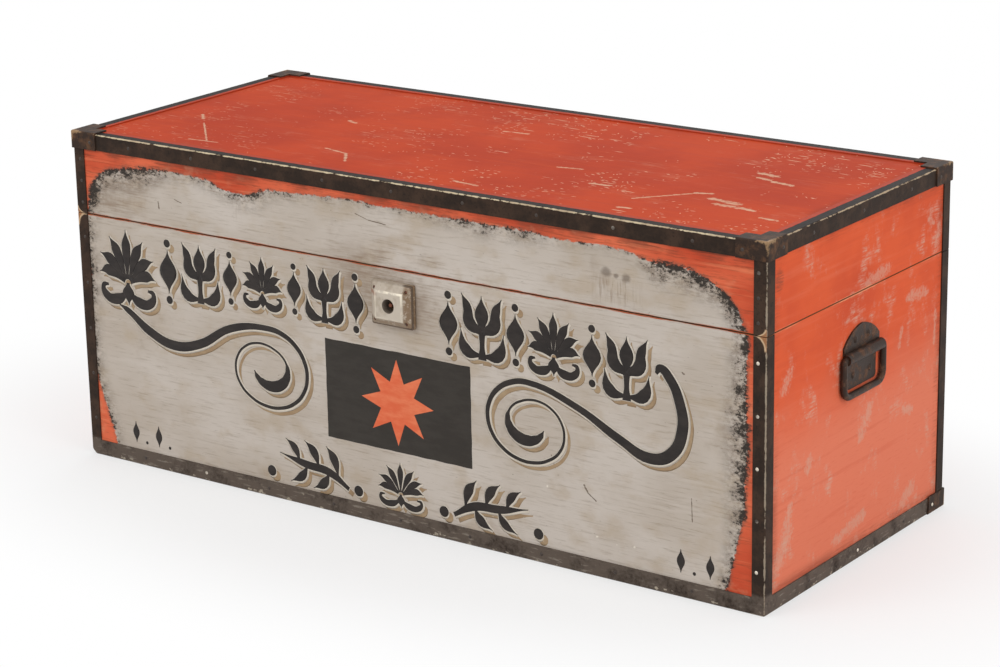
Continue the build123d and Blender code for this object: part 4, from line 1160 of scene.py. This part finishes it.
def makeThinPlate(name, work, thickness, material):
    # a flat outline in x and z, in millimetres, becomes a thin plate on the board
    made = bmesh.ops.extrude_face_region(work, geom=[*work.faces, *work.edges])
    raised = [piece for piece in made["geom"] if isinstance(piece, bmesh.types.BMVert)]
    bmesh.ops.translate(work, verts=raised, vec=(0, -thickness, 0))
    bmesh.ops.scale(work, verts=work.verts, vec=(mm, mm, mm))
    bmesh.ops.translate(work, verts=work.verts, vec=(0, frontY, 0))
    bmesh.ops.recalc_face_normals(work, faces=work.faces)
    mesh = bpy.data.meshes.new(name)
    work.to_mesh(mesh)
    work.free()
    addPiece(name, mesh, material)


def makePanel(settings):
    work = bmesh.new()
    bmesh.ops.create_grid(work, x_segments=48, y_segments=28, size=0.5)
    wide = settings["right"] - settings["left"]
    tall = settings["high"] - settings["low"]
    bmesh.ops.rotate(work, verts=work.verts, cent=(0, 0, 0), matrix=Matrix.Rotation(math.pi / 2, 3, "X"))
    bmesh.ops.scale(work, verts=work.verts, vec=(wide, 1, tall))
    middle = Vector(((settings["left"] + settings["right"]) / 2, 0, (settings["low"] + settings["high"]) / 2))
    bmesh.ops.translate(work, verts=work.verts, vec=middle)
    for vert in work.verts:
        if vert.is_boundary:
            push = noise.noise(vert.co * 0.07) * settings["wander"]
            vert.co += Vector((push, 0, -push))
    makeThinPlate("black_panel", work, settings["thickness"], strokePaints["panelBlack"])


def makeStar(settings):
    work = bmesh.new()
    bmesh.ops.create_circle(work, cap_ends=True, segments=16, radius=settings["starReach"])
    for vert in work.verts:
        angle = math.atan2(vert.co.y, vert.co.x)
        beat = round(angle / (math.pi / 8)) % 2
        reach = settings["starReach"] if beat == 0 else settings["starNotch"]
        vert.co = Vector((reach * math.cos(angle), 0, reach * math.sin(angle)))
    bmesh.ops.translate(work, verts=work.verts, vec=(settings["starX"], 0, settings["starZ"]))
    makeThinPlate("panel_star", work, settings["starThickness"], strokePaints["motifRed"])


makePanel(panelSettings)
makeStar(panelSettings)
print("panel painted")


# Floor, backdrop and light
stageSettings = {
    "floorHalf": 12, "floorColour": (0.93, 0.93, 0.93, 1), "floorRoughness": 0.9, "fadeFrom": 0.52,
    "fadeTo": 0.95, "fadeNarrow": 1.7, "nearGlow": 0.55, "worldStrength": 0.62,
}
lampSettings = {
    "keyLamp": {"place": (-1.8, -3.6, 3.6), "size": 3.2, "power": 62},
    "endLamp": {"place": (3.8, -0.6, 2.4), "size": 2.6, "power": 46},
    "backLamp": {"place": (-0.8, 3.4, 3), "size": 3, "power": 26},
}
pureWhite = (1, 1, 1, 1)


def seenDirectly(tree):
    # 1 for the camera's rays and those that pass over gloss or through glass, 0 for light on its way
    path = addNode(tree, "ShaderNodeLightPath")
    rays = ("Is Camera Ray", "Is Glossy Ray", "Is Transmission Ray")
    return most(*[Level(path.outputs[ray]) for ray in rays])


def makeFloor(settings):
    work = bmesh.new()
    bmesh.ops.create_grid(work, x_segments=2, y_segments=2, size=settings["floorHalf"])
    mesh = bpy.data.meshes.new("floor")
    work.to_mesh(mesh)
    work.free()
    material, coords = newMaterial("floorWhite")
    tree = material.node_tree
    shader = tree.nodes["Principled BSDF"]
    shader.inputs["Base Color"].default_value = settings["floorColour"]
    shader.inputs["Roughness"].default_value = settings["floorRoughness"]
    x, y = split(coords)[:2]
    away = maths("SQRT", squares(x, y * settings["fadeNarrow"]))
    far = blend(between(away, settings["fadeFrom"], settings["fadeTo"]), settings["nearGlow"], 1)
    glow = addNode(tree, "ShaderNodeEmission", {"Color": pureWhite, "Strength": 1})
    mixed = addNode(tree, "ShaderNodeMixShader", {
        0: far * seenDirectly(tree), 1: shader.outputs[0], 2: glow.outputs[0],
    })
    feed(tree.nodes["Material Output"].inputs["Surface"], mixed.outputs[0])
    mesh.materials.append(material)
    addObject("floor", mesh)


def makeWorld(settings):
    world = bpy.data.worlds.new("paleRoom")
    bpy.context.scene.world = world
    world.use_nodes = True
    tree = world.node_tree
    tree.nodes.clear()
    lit = addNode(tree, "ShaderNodeBackground", {"Color": pureWhite, "Strength": settings["worldStrength"]})
    white = addNode(tree, "ShaderNodeBackground", {"Color": pureWhite, "Strength": 1})
    mixed = addNode(tree, "ShaderNodeMixShader", {
        0: seenDirectly(tree), 1: lit.outputs[0], 2: white.outputs[0],
    })
    addNode(tree, "ShaderNodeOutputWorld", {"Surface": mixed.outputs[0]})


def makeLamps(lamps):
    for name, one in lamps.items():
        data = bpy.data.lights.new(name, "AREA")
        data.shape = "DISK"
        data.size = one["size"]
        data.energy = one["power"]
        lamp = addObject(name, data)
        lamp.location = one["place"]
        aim = Vector((0, 0, 0.2)) - Vector(one["place"])
        lamp.rotation_mode = "QUATERNION"
        lamp.rotation_quaternion = aim.to_track_quat("-Z", "Y")


makeFloor(stageSettings)
makeWorld(stageSettings)
makeLamps(lampSettings)
bpy.context.scene.view_settings.view_transform = "Standard"
print("floor, light and backdrop made")
